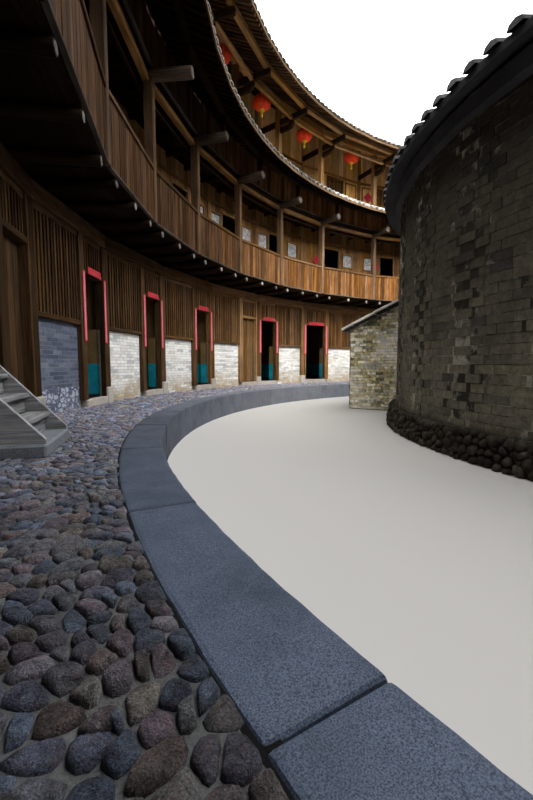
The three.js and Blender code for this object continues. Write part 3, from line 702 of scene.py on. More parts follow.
# Painted light: a much lighter copy of the wall timber, for the top floor's walls.
painted_lit_wall = wood("painted_lit_wall_timber", (0.47, 0.225, 0.052), (0.98, 0.64, 0.215), 0.35, 0.3,
                 (0.1, 0.05, 0.018))
arm_wood = wood("dark_arm_timber", (0.012, 0.0065, 0.0038), (0.06, 0.033, 0.0185), 0.3)
rafter_wood = wood("rafter_timber", (0.034, 0.019, 0.0105), (0.158, 0.093, 0.047), 0.45, 0.35)
eave_wood = wood("eave_timber", (0.04, 0.021, 0.009), (0.17, 0.098, 0.042), 0.35, 0.45, painted_sunlight=1.8,
                 sunny=(8.6, 9.0))
grey_log = wood("weathered_logs", (0.032, 0.0225, 0.016), (0.135, 0.1, 0.074), 0.25, 0.35)
yellow = wood("yellow_timber", (0.08, 0.038, 0.01), (0.25, 0.135, 0.042), 0.3, 0.3,
              (0.05, 0.024, 0.008), 0.5)
grey_wood = wood("grey_timber", (0.105, 0.107, 0.11), (0.38, 0.384, 0.395), 0.25, 0.35,
                 (0.05, 0.048, 0.046), 0.8)
edge_wood = wood("grey_edge_timber", (0.028, 0.022, 0.017), (0.105, 0.085, 0.066), 0.3, 0.3, painted_sunlight=2.0)
end_grain = wood("end_grain", (0.045, 0.042, 0.04), (0.22, 0.21, 0.2), 0.5, 0.4, (0.03, 0.022, 0.016), 0.8,
                 painted_sunlight=1.9, sunny=(6.5, 9.9))
log_end = wood("log_ends", (0.045, 0.036, 0.029), (0.17, 0.142, 0.115), 0.4, 0.4, painted_sunlight=2.0)

grey_brick = masonry(
    "grey_brick",
    [(0.078, 0.094, 0.138), (0.118, 0.138, 0.185), (0.058, 0.07, 0.108), (0.1, 0.116, 0.158),
     (0.15, 0.168, 0.205)],
    (0.075, 0.085, 0.115), 0.3, flakes=((0.4, 0.42, 0.53), 0.74))
white_brick = masonry(
    "whitewashed_brick",
    [(0.74, 0.75, 0.735), (0.82, 0.815, 0.79), (0.63, 0.63, 0.61), (0.78, 0.77, 0.735), (0.42, 0.44, 0.45),
     (0.83, 0.82, 0.79)],
    (0.44, 0.41, 0.34), 0.45, 0.2, foot=((0.4, 0.3, 0.17), 0.64, 0.24, 0.9))
# Painted light and shade: these bricks are lighter low on the wall and darker higher up.
dark_brick = masonry(
    "weathered_dark_brick",
    [(0.1, 0.088, 0.06), (0.118, 0.105, 0.073), (0.09, 0.08, 0.059), (0.11, 0.099, 0.071),
     (0.046, 0.044, 0.038), (0.104, 0.092, 0.064), (0.096, 0.087, 0.068), (0.1, 0.091, 0.066),
     (0.107, 0.096, 0.07), (0.094, 0.085, 0.062)],
    (0.04, 0.037, 0.03), 0.6, 0.38, 0.92, painted_shade=(0.6, 3.3, 1.85, 0.5))
rubble = masonry(
    "olive_rubble",
    [(0.29, 0.25, 0.11), (0.62, 0.54, 0.28), (0.12, 0.115, 0.075), (0.9, 0.87, 0.74), (0.5, 0.4, 0.15),
     (0.8, 0.75, 0.6), (0.36, 0.34, 0.22)],
    (0.95, 0.92, 0.83), 1.0, 0.75)
footing_stone = masonry(
    "footing_cobbles",
    [(0.022, 0.018, 0.013), (0.05, 0.042, 0.031), (0.03, 0.023, 0.015), (0.07, 0.06, 0.046)],
    (0.01, 0.009, 0.007), 0.6, 0.5)
outer_stone = masonry(
    "outer_rubble",
    [(0.095, 0.088, 0.077), (0.14, 0.128, 0.112), (0.066, 0.062, 0.058), (0.165, 0.147, 0.124)],
    (0.075, 0.06, 0.042), 0.4)

# Painted light and shade: the kerb turns lighter and greyer towards north and south.
kerb_stone = granite("kerb_granite", (0.021, 0.03, 0.047), (0.098, 0.122, 0.176), (0.03, 0.04, 0.058),
                     painted_sunlight=1.9)
pale_stone = granite("pale_granite", (0.27, 0.245, 0.22), (0.56, 0.52, 0.46), (0.22, 0.19, 0.15), 180.0)
slab_stone = granite("slab_stone", (0.66, 0.62, 0.53), (0.97, 0.93, 0.84), (0.2, 0.185, 0.145), 60.0)
grey_stone = granite("grey_granite", (0.075, 0.085, 0.1), (0.25, 0.268, 0.3), (0.1, 0.105, 0.115),
                     180.0)
roof_tile = tile_finish("clay_tile", (0.012, 0.0115, 0.011), (0.04, 0.038, 0.036), (0.058, 0.055, 0.05))
dark_tile = tile_finish("dark_tile", (0.012, 0.012, 0.014), (0.052, 0.053, 0.058), (0.085, 0.088, 0.096))
# Painted sunlight: the waist tiles and the tile ends turn up to five and six times lighter at the north and
# south bays.
waist_tile = tile_finish("waist_tile", (0.028, 0.027, 0.025), (0.105, 0.102, 0.094), painted_sunlight=5.0,
                         sunny=(8.6, 9.02))
tile_ends = tile_finish("tile_ends", (0.012, 0.012, 0.01), (0.125, 0.12, 0.106), (0.1, 0.095, 0.085), 6.0,
                        (8.78, 9.0))
red_paper = paper("red_paper", (0.46, 0.02, 0.03), (0.5, 0.09, 0.11))
pink_paper = paper("faded_paper", (0.56, 0.23, 0.26), (0.44, 0.028, 0.042), 38.0)
red_shell = satin("lantern_shell", (0.92, 0.07, 0.016))
gold_trim = satin("lantern_trim", (0.86, 0.55, 0.05))


def dress(material, *names):
    for name in names:
        for node in nodes_of(name):
            for slot in nodes[node].material_slots:
                slot.material = material


dress(rammed_earth(), "earth_wall_south", "earth_wall_north")
dress(mortar("footing_mortar", (0.12, 0.105, 0.085), (0.07, 0.06, 0.05)), "stone_footing")
dress(mortar("dark_footing_mortar", (0.045, 0.04, 0.032), (0.02, 0.018, 0.015)), "inner_ring_footing")
dress(grey_stone, "gate_surround")
dress(earth_floor(), "walkway_plinth")
dress(room_plaster(), "brick_dado")
old_mortar = mortar("old_mortar", (0.36, 0.335, 0.27), (0.034, 0.032, 0.026), 0.46)
dress(old_mortar, "inner_ring_wall", "inner_yard_wall")
dress(mortar("annex_mortar", (0.52, 0.48, 0.35), (0.11, 0.1, 0.055)), "annex_walls")
dress(roof_tile, "roof_ridge")


# Timber of the ground floor
def slatted_part(k):
    """Stretches beside the doorway, measured from the first post."""
    start, end = doorway(k)
    length = bay_length(k)
    at_last = start > length / 2
    return (0.08, start - JAMB) if at_last else (end + JAMB, length - 0.08)


def slat_row(slats, k, sides, heights):
    """Upright bars over a stretch, as wide as the gaps between them."""
    low, high = sides
    count = max(1, round((high - low) / SLAT_PITCH))
    for i in range(count):
        side = low + (high - low) * (i + 0.5) / count + rng.normal(0, 0.0015)
        slats.bay(k, (11.02, 11.05), (side - 0.02, side + 0.02), heights, 2, form=PLAIN_BOX)


def kitchen_timber():
    posts, rails, slats, boards, new_frame = [Forms() for _ in range(5)]
    slat_top = LINTEL[0] - 0.07
    for k in range(BAYS):
        posts.radial(edge(k), (FRONT, 11.09), (-0.08, 0.08), (BASE_TOP, LINTEL[0]), 2, 0.012)
        rails.beam(k, (10.96, 11.16), (LINTEL[0], LINTEL[1] + 0.021), 0.014)
        if k == GATE_BAY:
            continue
        door_frame(new_frame if k == PLANK_BAY else rails, k)
        slat_row(slats, k, doorway(k), (DOOR_HEAD + 0.07, slat_top))
        boards.bay(k, (11.1, 11.125), doorway(k), (DOOR_HEAD + 0.07, LINTEL[0]), 2)
        low, high = slatted_part(k)
        for sides in (doorway(k), (low, high)):
            rails.bay(k, (11.01, 11.09), sides, (slat_top, LINTEL[0]))
        if k == STAIR_BAY:
            continue
        rails.bay(k, (10.995, 11.13), (low, high), (DADO_TOP, DADO_TOP + 0.065), 1, 0.01)
        slat_row(slats, k, (low, high), (DADO_TOP + 0.065, slat_top))
        for sides in split(low, high, round((high - low) / 0.2), 0.002):
            boards.bay(k, (11.1, 11.125), sides, (DADO_TOP + 0.05, LINTEL[0]), 2)
    piece("kitchen_posts", posts, brown, "dark_timber", "kitchen_front")
    piece("kitchen_rails", rails, brown, "dark_timber")
    piece("plank_door_frame", new_frame, golden, "dark_timber")
    piece("kitchen_slats", slats, brown, "dark_timber")
    piece("kitchen_boards", boards, smoked, "dark_timber")


def door_frame(rails, k):
    """A wide jamb on the slats' side, a narrow one beside the post, and a head."""
    start, end = doorway(k)
    at_last = start > bay_length(k) / 2
    wide = (start - JAMB, start) if at_last else (end, end + JAMB)
    narrow = (end, end + 0.045) if at_last else (start - 0.045, start)
    for low, high in (wide, narrow):
        rails.bay(k, (10.985, 11.13), (low, high), (THRESHOLD, LINTEL[0]), 2, 0.006)
    rails.bay(k, (10.99, 11.13), (start, end), (DOOR_HEAD, DOOR_HEAD + 0.07), 1, 0.006)


def thresholds():
    stones, bases = Forms(), Forms()
    for k in range(BAYS):
        bases.radial(edge(k), (10.945, 11.2), (-0.1, 0.1), (WALKWAY - 0.02, BASE_TOP), 1, 0.02)
        if k == GATE_BAY:
            continue
        start, end = doorway(k)
        stones.bay(k, (10.965, 11.31), (start - 0.03, end + 0.07), (WALKWAY - 0.02, THRESHOLD), 1, 0.014)
    piece("post_bases", bases, pale_stone, "cut_stone")
    piece("threshold_stones", stones, pale_stone, "cut_stone")


def dado_bricks():
    """Courses of flush bricks under the slats, bare grey beside the stair and whitewashed elsewhere."""
    rows, length, joint = 22, 0.235, 0.004
    course = (DADO_TOP - WALKWAY) / rows
    bare, washed = Forms(), Forms()
    for k in range(BAYS):
        if k in (GATE_BAY, STAIR_BAY):
            continue
        low, high = slatted_part(k)
        forms = bare if k in (5, 7, 8, 20, 27) else washed
        shape = BOX if k in (4, 5) else PLAIN_BOX
        for row in range(rows):
            foot = WALKWAY + course * row
            side = low - rng.uniform(0, 0.03) - (length / 2 if row % 2 else 0)
            while side < high - 0.02:
                near, far = max(side, low), min(side + length, high)
                proud = rng.uniform(0.001, 0.0045)
                if far - near > 0.03:
                    forms.bay(k, (11.06 - proud, 11.075), (near + joint / 2, far - joint / 2),
                              (foot + joint / 2, foot + course - joint / 2), 1, 0.0015, form=shape)
                side += length
    piece("bare_bricks", bare, grey_brick, "pale_brick")
    piece("washed_bricks", washed, white_brick, "pale_brick")


def door_papers():
    """Plain paper strips beside and over the open doorways, pale fields with red edges, curling a little."""
    strips, fields = Forms(), Forms()
    wide, foot, head = 0.082, 1.4, 2.42
    for k in range(BAYS):
        if k in (GATE_BAY, STAIR_BAY, PLANK_BAY):
            continue
        start, end = doorway(k)
        for low, high in ((start - wide - 0.008, start - 0.008), (end + 0.008, end + wide + 0.008)):
            paper_strip(strips, k, (low, high), (foot, head), 0.0)
            paper_strip(fields, k, (low + 0.017, high - 0.017), (foot + 0.02, head - 0.02), 0.0018)
        paper_strip(strips, k, (start + 0.1, end - 0.1), (DOOR_HEAD + 0.008, DOOR_HEAD + 0.11), 0.0, True)
    last = BAYS - 1
    for k, side, level, half in ((0, 2.0, 4.65, 0.12), (last, 1.36, 4.74, 0.12), (last, 1.74, 7.2, 0.14)):
        diamond(strips, k, side, level, half)
    piece("door_papers", strips, red_paper, "plank_door")
    piece("door_paper_fields", fields, pink_paper, "plank_door")


def diamond(strips, k, side, level, half):
    """A square of plain paper on one corner."""
    out, along, up = axes(middle(k))
    radius = 11.02 * cos(half_bay(k))
    centre = out * radius + along * (side - bay_length(k) / 2) + up * level
    turned = np.array([out, (along + up) / 2 ** 0.5, (up - along) / 2 ** 0.5])
    strips.stamp(BOX, centre, (0.002, half, half), turned, 1, 0.001)


def paper_strip(strips, k, sides, heights, proud, lying=False):
    """Short lengths of paper in front of the posts and jambs, lying along the head or hanging."""
    steps = 6
    low, high = sides if lying else heights
    rise = (high - low) / steps
    for i in range(steps):
        curl = 0.004 * abs(i - steps / 2 + 0.5) / steps + rng.uniform(0, 0.0015) + proud
        stretch = (low + rise * i, low + rise * (i + 1) + 0.002)
        place = (stretch, heights) if lying else (sides, stretch)
        strips.bay(k, (10.972 - curl, 10.9755 - curl), *place, 2, form=PLAIN_BOX)


# Doors on their hinges
def plank_leaf(k, name, planks, material, slot, body, node):
    start, end = doorway(k)
    low, high = start + 0.014, end - 0.008
    foot, head = THRESHOLD + 0.01, DOOR_HEAD - 0.01
    leaf = Forms()
    for sides in split(low, high, planks, 0.001):
        leaf.bay(k, (11.093, 11.122), sides, (foot, head), 2, 0.004)
    for level in (foot + 0.22, (foot + head) / 2, head - 0.26):
        leaf.bay(k, (11.12, 11.13), (low + 0.03, high - 0.02), (level, level + 0.08), 1, 0.004)
    for bottom, top in ((THRESHOLD + 0.001, foot + 0.05), (head - 0.05, DOOR_HEAD - 0.001)):
        spot = (11.11 * cos(half_bay(k)), low + 0.02 - bay_length(k) / 2, (bottom + top) / 2)
        leaf.log(middle(k), spot, (top - bottom) / 2, 0.013, 0, 0.002, upright=True)
    piece(name, leaf, material, slot, node, body=body)


def door_knob():
    k = STAIR_BAY
    side = doorway(k)[1] - 0.09 - bay_length(k) / 2
    knob = Forms()
    for depth, half, size in ((0.003, 0.008, 0.032), (0.016, 0.012, 0.014), (0.034, 0.008, 0.022)):
        knob.log(middle(k), (11.094 * cos(half_bay(k)) - depth, side, 1.48), half, size, 0, 0.004)
    iron = satin("worn_iron", (0.05, 0.045, 0.04))
    piece("door_knob", knob, iron, "dark_timber", body="stair_bay_door_leaf")


# Galleries
def second_logs():
    logs, ends = Forms(), Forms()
    height = LINTEL[1] + 0.0003 + 0.082
    half, end_half = 2.27, 0.0035
    log_middle, end_face = 12.33, 10.059
    for k in range(BAYS):
        for i in (-1, 0, 1):
            side = i * bay_length(k) / 3
            radius = 0.060 + rng.uniform(-0.004, 0.002)
            logs.log(middle(k), (log_middle, side, height), half, radius)
            ends.log(middle(k), (end_face, side, height), end_half, radius - 0.012, 1, 0.002)
    piece("second_floor_logs", logs, smoked, "dark_timber", "second_floor")
    piece("log_ends", ends, end_grain, "dark_timber")


def floor_boards(name, top, thickness, *replaces):
    """Floor boards along the ring, cut around the stair's opening on the second floor."""
    boards = Forms()
    well_start, well_half = STAIR_WELL
    for k in range(BAYS):
        for near, far in split(POST_FRONT, EARTH_IN - 0.02, 23, 0.0015):
            reach = bay_length(k, near) / 2
            stretches = [(-reach, reach)]
            if top == SECOND and k == STAIR_BAY and well_start < far and near < STAIR_HEAD:
                well = near * tan(STAIR_ANGLE - middle(k))
                stretches = [(-reach, well - well_half), (well + well_half, reach)]
            radii = chord(k, (near, far))
            for stretch in stretches:
                boards.radial(middle(k), radii, stretch, (top - thickness, top), 1, form=PLAIN_BOX)
    piece(name, boards, smoked, "dark_timber", *replaces)


def parapet(name, floor, rail, clear):
    """Upright boards of uneven widths with open joints, a top rail, a thin foot rail and a rail behind."""
    boards, rails, foots = Forms(), Forms(), Forms()
    for k in range(BAYS):
        reach = bay_length(k, GALLERY) / 2 - clear
        count = round(2 * reach / 0.125)
        stops = np.linspace(-reach, reach, count + 1)
        stops[1:-1] += rng.uniform(-0.022, 0.022, count - 1)
        front = chord(k, (GALLERY + 0.004, GALLERY + 0.026))
        for low, high in zip(stops, stops[1:]):
            lift, set_back = rng.uniform(0, 0.008), rng.uniform(0, 0.008)
            boards.radial(middle(k), [radius + set_back for radius in front], (low + 0.003, high - 0.003),
                          (floor - 0.004 + lift, rail - 0.05), 2, 0.004)
        for forms, near, far, bottom, top in ((rails, -0.018, 0.045, rail - 0.062, rail),
                                              (rails, 0.036, 0.06, rail - 0.32, rail - 0.26),
                                              (foots, -0.016, 0.04, floor - 0.026, floor + 0.002)):
            radii = chord(k, (GALLERY + near, GALLERY + far))
            forms.radial(middle(k), radii, (-reach, reach), (bottom, top), 1, 0.007)
    piece(name + "_boards", boards, parapet_wood, "sunlit_timber", name)
    piece(name + "_rails", rails, brown, "dark_timber")
    piece(name + "_foot", foots, edge_wood, "dark_timber")


def second_frame():
    posts, beams, logs, ends, struts = [Forms() for _ in range(5)]
    axis = THIRD - 0.0543 - 0.094
    post = ((POST_FACE, 10.24), (-POST_HALF, POST_HALF), (SECOND - 0.015, SECOND_HEAD))
    for k in range(BAYS):
        posts.radial(edge(k), *post, 2, 0.012)
        beams.beam(k, (POST_FRONT, 10.25), (SECOND_HEAD, SECOND_HEAD + 0.09), 0.01)
        struts.beam(k, (POST_FRONT + 0.02, 10.25), (SECOND_HEAD + 0.091, JOIST_FOOT), 0.01)
        struts.beam(k, (10.31, 10.36), (SECOND_HEAD - 0.09, SECOND_HEAD - 0.03), 0.008)
        logs.log(edge(k), (9.84, 0, axis), 0.39, 0.092, 0, 0.008)
        struts.radial(edge(k), (9.49, 9.57), (-0.045, 0.045), (axis + 0.07, 5.98), 2, 0.008)
        struts.beam(k, (9.46, 9.58), (5.965, 6.045), 0.01)
        ends.log(edge(k), (9.449, 0, axis), 0.0035, 0.086, 1, 0.002)
        for i in (-1, 0, 1):
            struts.log(middle(k), (12.45, i * bay_length(k) / 3, 5.62), 2.15, 0.052)
    piece("second_posts", posts, post_wood, "sunlit_timber", "second_frame")
    piece("second_beams", beams, golden, "sunlit_timber")
    piece("eave_logs", logs, grey_log, "sunlit_timber")
    piece("eave_log_ends", ends, log_end, "sunlit_timber")
    piece("third_floor_joists", struts, smoked, "dark_timber")


def board_column(boards, k, side, floor, head, openings):
    """One upright wall board, left out where an opening is."""
    low, high = side[0] - 0.03, side[1] + 0.03
    cuts = [heights for _, (start, end), heights in openings if start < high and low < end]
    foot = floor
    for low, high in sorted(cuts):
        if low - foot > 0.02:
            boards.bay(k, (11.06, 11.085), side, (foot, low), 2, form=PLAIN_BOX)
        foot = high
    boards.bay(k, (11.06, 11.085), side, (foot, head), 2, form=PLAIN_BOX)


def room_walls(name, floor, head, board_wood, frame_wood):
    boards, frames, panes = Forms(), Forms(), Forms()
    for k in range(BAYS):
        length = bay_length(k)
        openings = room_openings(k, floor)
        ends = [end for _, (start, stop), _ in openings for end in (start - 0.03, stop + 0.03)]
        stops = sorted({0.0, length, *ends})
        for low, high in zip(stops, stops[1:]):
            for side in split(low, high, max(1, round((high - low) / 0.17)), 0.0015):
                board_column(boards, k, side, floor, head, openings)
        frames.radial(edge(k), (11.03, 11.12), (-0.07, 0.07), (floor, head), 2, 0.01)
        for low, high in ((1.9, 1.98), (0.9, 0.96)):
            frames.bay(k, (11.04, 11.1), (0, length), (floor + low, floor + high), 1, 0.008)
        for opening in openings:
            opening_frame(frames, panes, k, *opening)
        if is_shut(k, floor):
            shut_door(frames, boards, k, along_room(k, (0.12, 0.68)), (floor + 0.08, floor + 1.82))
    piece(name + "_boards", boards, board_wood, "dark_timber", name + "_wall")
    piece(name + "_frames", frames, frame_wood, "dark_timber")
    return panes


def shut_door(frames, boards, k, sides, heights):
    """A framed board door that stands shut in its wall."""
    low, high = sides
    width = 0.045
    for start in (low, high - width):
        frames.bay(k, (11.03, 11.07), (start, start + width), heights, 2, 0.006)
    for foot in (heights[0], heights[1] - width):
        frames.bay(k, (11.03, 11.07), sides, (foot, foot + width), 1, 0.006)
    for board in split(low + width, high - width, 3, 0.002):
        boards.bay(k, (11.045, 11.065), board, heights, 2, 0.003)


def opening_frame(frames, panes, k, kind, sides, heights):
    width = 0.045
    low, high = heights[0] - width, heights[1] + width
    for start in (sides[0] - width, sides[1]):
        frames.bay(k, (11.035, 11.105), (start, start + width), (low, high), 2, 0.006)
    for foot in (low, heights[1]):
        frames.bay(k, (11.035, 11.105), sides, (foot, foot + width), 1, 0.006)
    if kind == "bars":
        for _, centre in split(*sides, 9)[:-1]:
            frames.bay(k, (11.05, 11.075), (centre - 0.012, centre + 0.012), heights, 2, form=PLAIN_BOX)
    elif kind == "window":
        panes.bay(k, (11.07, 11.076), sides, heights, 1, 0.001)


# Lattice of arms, posts and purlins under the top roof
def third_frame():
    posts, arms, purlins = Forms(), Forms(), Forms()
    low, high = THIRD_HEAD - 0.25, THIRD_HEAD - 0.04
    curve = [(10.16, 0.0), (9.86, 0.0), (9.77, 0.02), (9.715, 0.07), (9.69, 0.14), (9.70, 0.2), (9.74, 0.205),
             (9.79, 0.16), (9.86, 0.135), (10.16, 0.13)]
    arm = [(radius, low + level) for radius, level in curve]
    head = roof_under(POST_FRONT) - 0.001
    for k in range(BAYS):
        posts.radial(edge(k), (POST_FRONT, 10.292), (-0.07, 0.07), (THIRD, head), 2, 0.014)
        arms.plate(edge(k), arm, 0.09)
        arms.radial(edge(k), (9.262, 11.04), (-0.045, 0.045), (high, high + 0.14), 0, 0.01)
        purlins.beam(k, (9.29, 9.41), (high + 0.1403, roof_under(9.29 * cos(half_bay(k)))), 0.012)
        top = roof_under(POST_FRONT * cos(half_bay(k)))
        purlins.beam(k, (POST_FRONT, 10.26), (top - 0.2, top), 0.012)
        purlins.beam(k, (9.7, 9.79), (low + 0.2, low + 0.29), 0.012)
    piece("third_posts", posts, golden, "sunlit_timber", "third_frame")
    piece("eave_arms", arms, arm_wood, "sunlit_timber")
    piece("roof_purlins", purlins, bright, "sunlit_timber", "eave_purlin")


# Roofs
WHOLE = [angle for k in range(BAYS) for angle in (edge(k), middle(k))]


def sheet(forms, under, radii, low, high):
    """Thin ring-shaped sheet that follows a roof's slope."""
    near, far = radii
    forms.ring([(near, under(near) + low), (far, under(far) + low), (far, under(far) + high),
                (near, under(near) + high)], WHOLE)


def rafters(forms, under, slope, radii, count, width, depth):
    tilt = atan(slope)
    near, far = radii
    length = (far - near) / cos(tilt)
    level = (under(near) + under(far)) / 2 + depth / 2 / cos(tilt)
    angles = [2 * pi * (i + 0.5) / count for i in range(count)]
    turn = np.array([axes(angle, tilt) for angle in angles])
    out = np.array([axes(angle)[0] for angle in angles])
    centres = (near + far) / 2 * out + np.array([0, 0, level])
    forms.stamp(PLAIN_BOX, centres, (length / 2 - depth / 2, width / 2, depth / 2), turn)


def tiles(forms, under, eave, top, count, rows, base, width=0.36, rise=0.035):
    """Columns of half-round cover tiles that overlap downhill, from an eave to the top of its slope."""
    outward = 1 if top > eave else -1
    arc = np.linspace(0, pi, 5)
    corners = len(arc)
    radii = np.linspace(eave, top, rows + 1)
    ends = np.stack([radii[:-1], radii[1:] + outward * 0.02], axis=1)
    lift, spread = np.array([0.016, 0.0])[:, None], np.array([1.0, 0.86])[:, None]
    wobble = rng.normal(0, 0.004, (count, rows, 1, 1))
    reach = (width * 2 * pi * ends / count)[..., None] * spread
    side = np.cos(arc) * reach * np.ones((count, rows, 2, corners)) + wobble
    radius = ends[..., None] * np.ones(side.shape)
    heights = np.vectorize(under)(ends)[..., None] + base + lift
    heights = heights + np.sin(arc) * rise * 1.35 + np.abs(wobble) * 0.5
    turn = (2 * pi * np.arange(count) / count)[:, None, None, None]
    x = radius * np.cos(turn) - side * np.sin(turn)
    y = radius * np.sin(turn) + side * np.cos(turn)
    points = np.stack([x, y, heights], axis=-1).reshape(count * rows, -1, 3)
    low = np.arange(corners - 1)
    quads = np.stack([low, low + 1, low + 1 + corners, low + corners], axis=1)[:, ::outward]
    cap = np.arange(corners)[::-outward]
    sizes = [4] * (corners - 1) + [corners]
    forms.repeat(points, np.concatenate([quads.ravel(), cap]), sizes, np.stack([radius, side], axis=-1), True)


def pans(forms, under, radii, rows, base):
    """Stepped surface of the trough tiles between the cover tiles."""
    eave, top = radii
    loop = []
    for row in range(rows):
        near = eave + (top - eave) * row / rows
        far = eave + (top - eave) * (row + 1) / rows
        loop += [(near, under(near) + base + 0.014), (far, under(far) + base)]
    loop += [(top, under(top) + base - 0.02), (eave, under(eave) + base - 0.02)]
    forms.ring(loop[::-1] if top > eave else loop, WHOLE)


def eave_ends(forms, under, eave, count, base, outward):
    """Round end tiles in a row over the eave's edge."""
    turns = np.array([axes(2 * pi * i / count) for i in range(count)])
    centres = (eave + outward * 0.006) * turns[:, 0] + np.array([0, 0, under(eave) + base + 0.022])
    forms.stamp(DISC, centres, (0.008, 0.058, 0.04), turns)


def fascia(forms, near, heights):
    low, high = heights
    far = near + 0.025
    forms.ring([(near, low), (far, low), (far, high), (near, high)], WHOLE)


def top_roof():
    battens, boards, covers, ends, fascias, outer_covers = [Forms() for _ in range(6)]
    rafters(battens, roof_under, ROOF_SLOPE, (EAVE + 0.03, RIDGE), 448, 0.062, 0.06)
    rafters(battens, roof_under, -ROOF_SLOPE, (RIDGE, OUTER_EAVE - 0.03), 384, 0.075, 0.06)
    sheet(boards, roof_under, (EAVE + 0.026, RIDGE), 0.066, 0.08)
    sheet(boards, roof_under, (RIDGE, OUTER_EAVE - 0.026), 0.066, 0.08)
    fascia(fascias, EAVE, (EAVE_UNDER + 0.002, EAVE_UNDER + 0.06))
    fascia(fascias, OUTER_EAVE - 0.025, (EAVE_UNDER - 0.02, EAVE_UNDER + 0.085))
    pans(covers, roof_under, (EAVE + 0.02, RIDGE - 0.01), 22, 0.1)
    pans(covers, roof_under, (OUTER_EAVE - 0.02, RIDGE + 0.01), 22, 0.1)
    tiles(covers, roof_under, EAVE, RIDGE - 0.1, 288, 14, 0.104)
    tiles(outer_covers, roof_under, OUTER_EAVE, RIDGE + 0.1, 420, 14, 0.104)
    eave_ends(ends, roof_under, EAVE, 288, 0.09, -1)
    eave_ends(ends, roof_under, OUTER_EAVE, 420, 0.09, 1)
    piece("roof_rafters", battens, rafter_wood, "dark_timber", "inner_slope")
    piece("roof_boards", boards, smoked, "dark_timber", "outer_slope")
    piece("eave_boards", fascias, eave_wood, "sunlit_timber")
    piece("inner_slope_tiles", covers, roof_tile, "roof_tile")
    piece("outer_slope_tiles", outer_covers, roof_tile, "roof_tile")
    piece("eave_tile_ends", ends, tile_ends, "roof_tile")


def waist_roof():
    battens, boards, covers, ends, edge_boards = [Forms() for _ in range(5)]
    back = GALLERY - 0.004
    rafters(battens, waist_under, WAIST_SLOPE, (WAIST + 0.03, back * cos(WIDE / 2)), 384, 0.065, 0.045)
    sheet(boards, waist_under, (WAIST + 0.026, back - 0.03), 0.05, 0.062)
    fascia(edge_boards, WAIST, (WAIST_UNDER + 0.004, WAIST_UNDER + 0.055))
    pans(covers, waist_under, (WAIST + 0.02, back - 0.03), 5, 0.085)
    tiles(covers, waist_under, WAIST, back - 0.05, 288, 5, 0.09)
    eave_ends(ends, waist_under, WAIST, 288, 0.078, -1)
    piece("waist_rafters", battens, smoked, "dark_timber", "waist_eave")
    piece("waist_boards", boards, smoked, "dark_timber")
    piece("waist_eave_board", edge_boards, eave_wood, "sunlit_timber")
    piece("waist_tiles", covers, waist_tile, "roof_tile")
    piece("waist_tile_ends", ends, tile_ends, "roof_tile")


def inner_roof():
    body, covers = Forms(), Forms()
    in_eave = 2 * INNER_RIDGE - INNER_EAVE
    circle = [2 * pi * i / 96 for i in range(96)]
    top = inner_under(INNER_RIDGE)
    upper = [(INNER_EAVE, INNER_UNDER + 0.08), (INNER_RIDGE, top + 0.08), (in_eave, INNER_UNDER + 0.08)]
    lower = [(in_eave, INNER_UNDER), (INNER_RIDGE, top), (INNER_EAVE, INNER_UNDER)]
    body.ring(upper[::-1] + lower[::-1], circle)
    body.ring([(6.1, 3.69), (6.2, 3.71), (6.21, 3.88), (6.1, 3.90)], circle)
    tiles(covers, inner_under, INNER_EAVE + 0.03, INNER_RIDGE, 148, 8, 0.085, 0.33, 0.055)
    tiles(covers, inner_under, in_eave - 0.01, INNER_RIDGE, 112, 8, 0.085, 0.33, 0.055)
    ridge = [(-0.09, 0.19), (0.0, 0.23), (0.09, 0.19), (0.12, 0.1), (-0.12, 0.1)]
    body.ring([(INNER_RIDGE + across, top + level) for across, level in ridge], circle)
    piece("inner_roof_body", body, dark_tile, "roof_tile", "inner_ring_roof")
    piece("inner_roof_tiles", covers, dark_tile, "roof_tile")


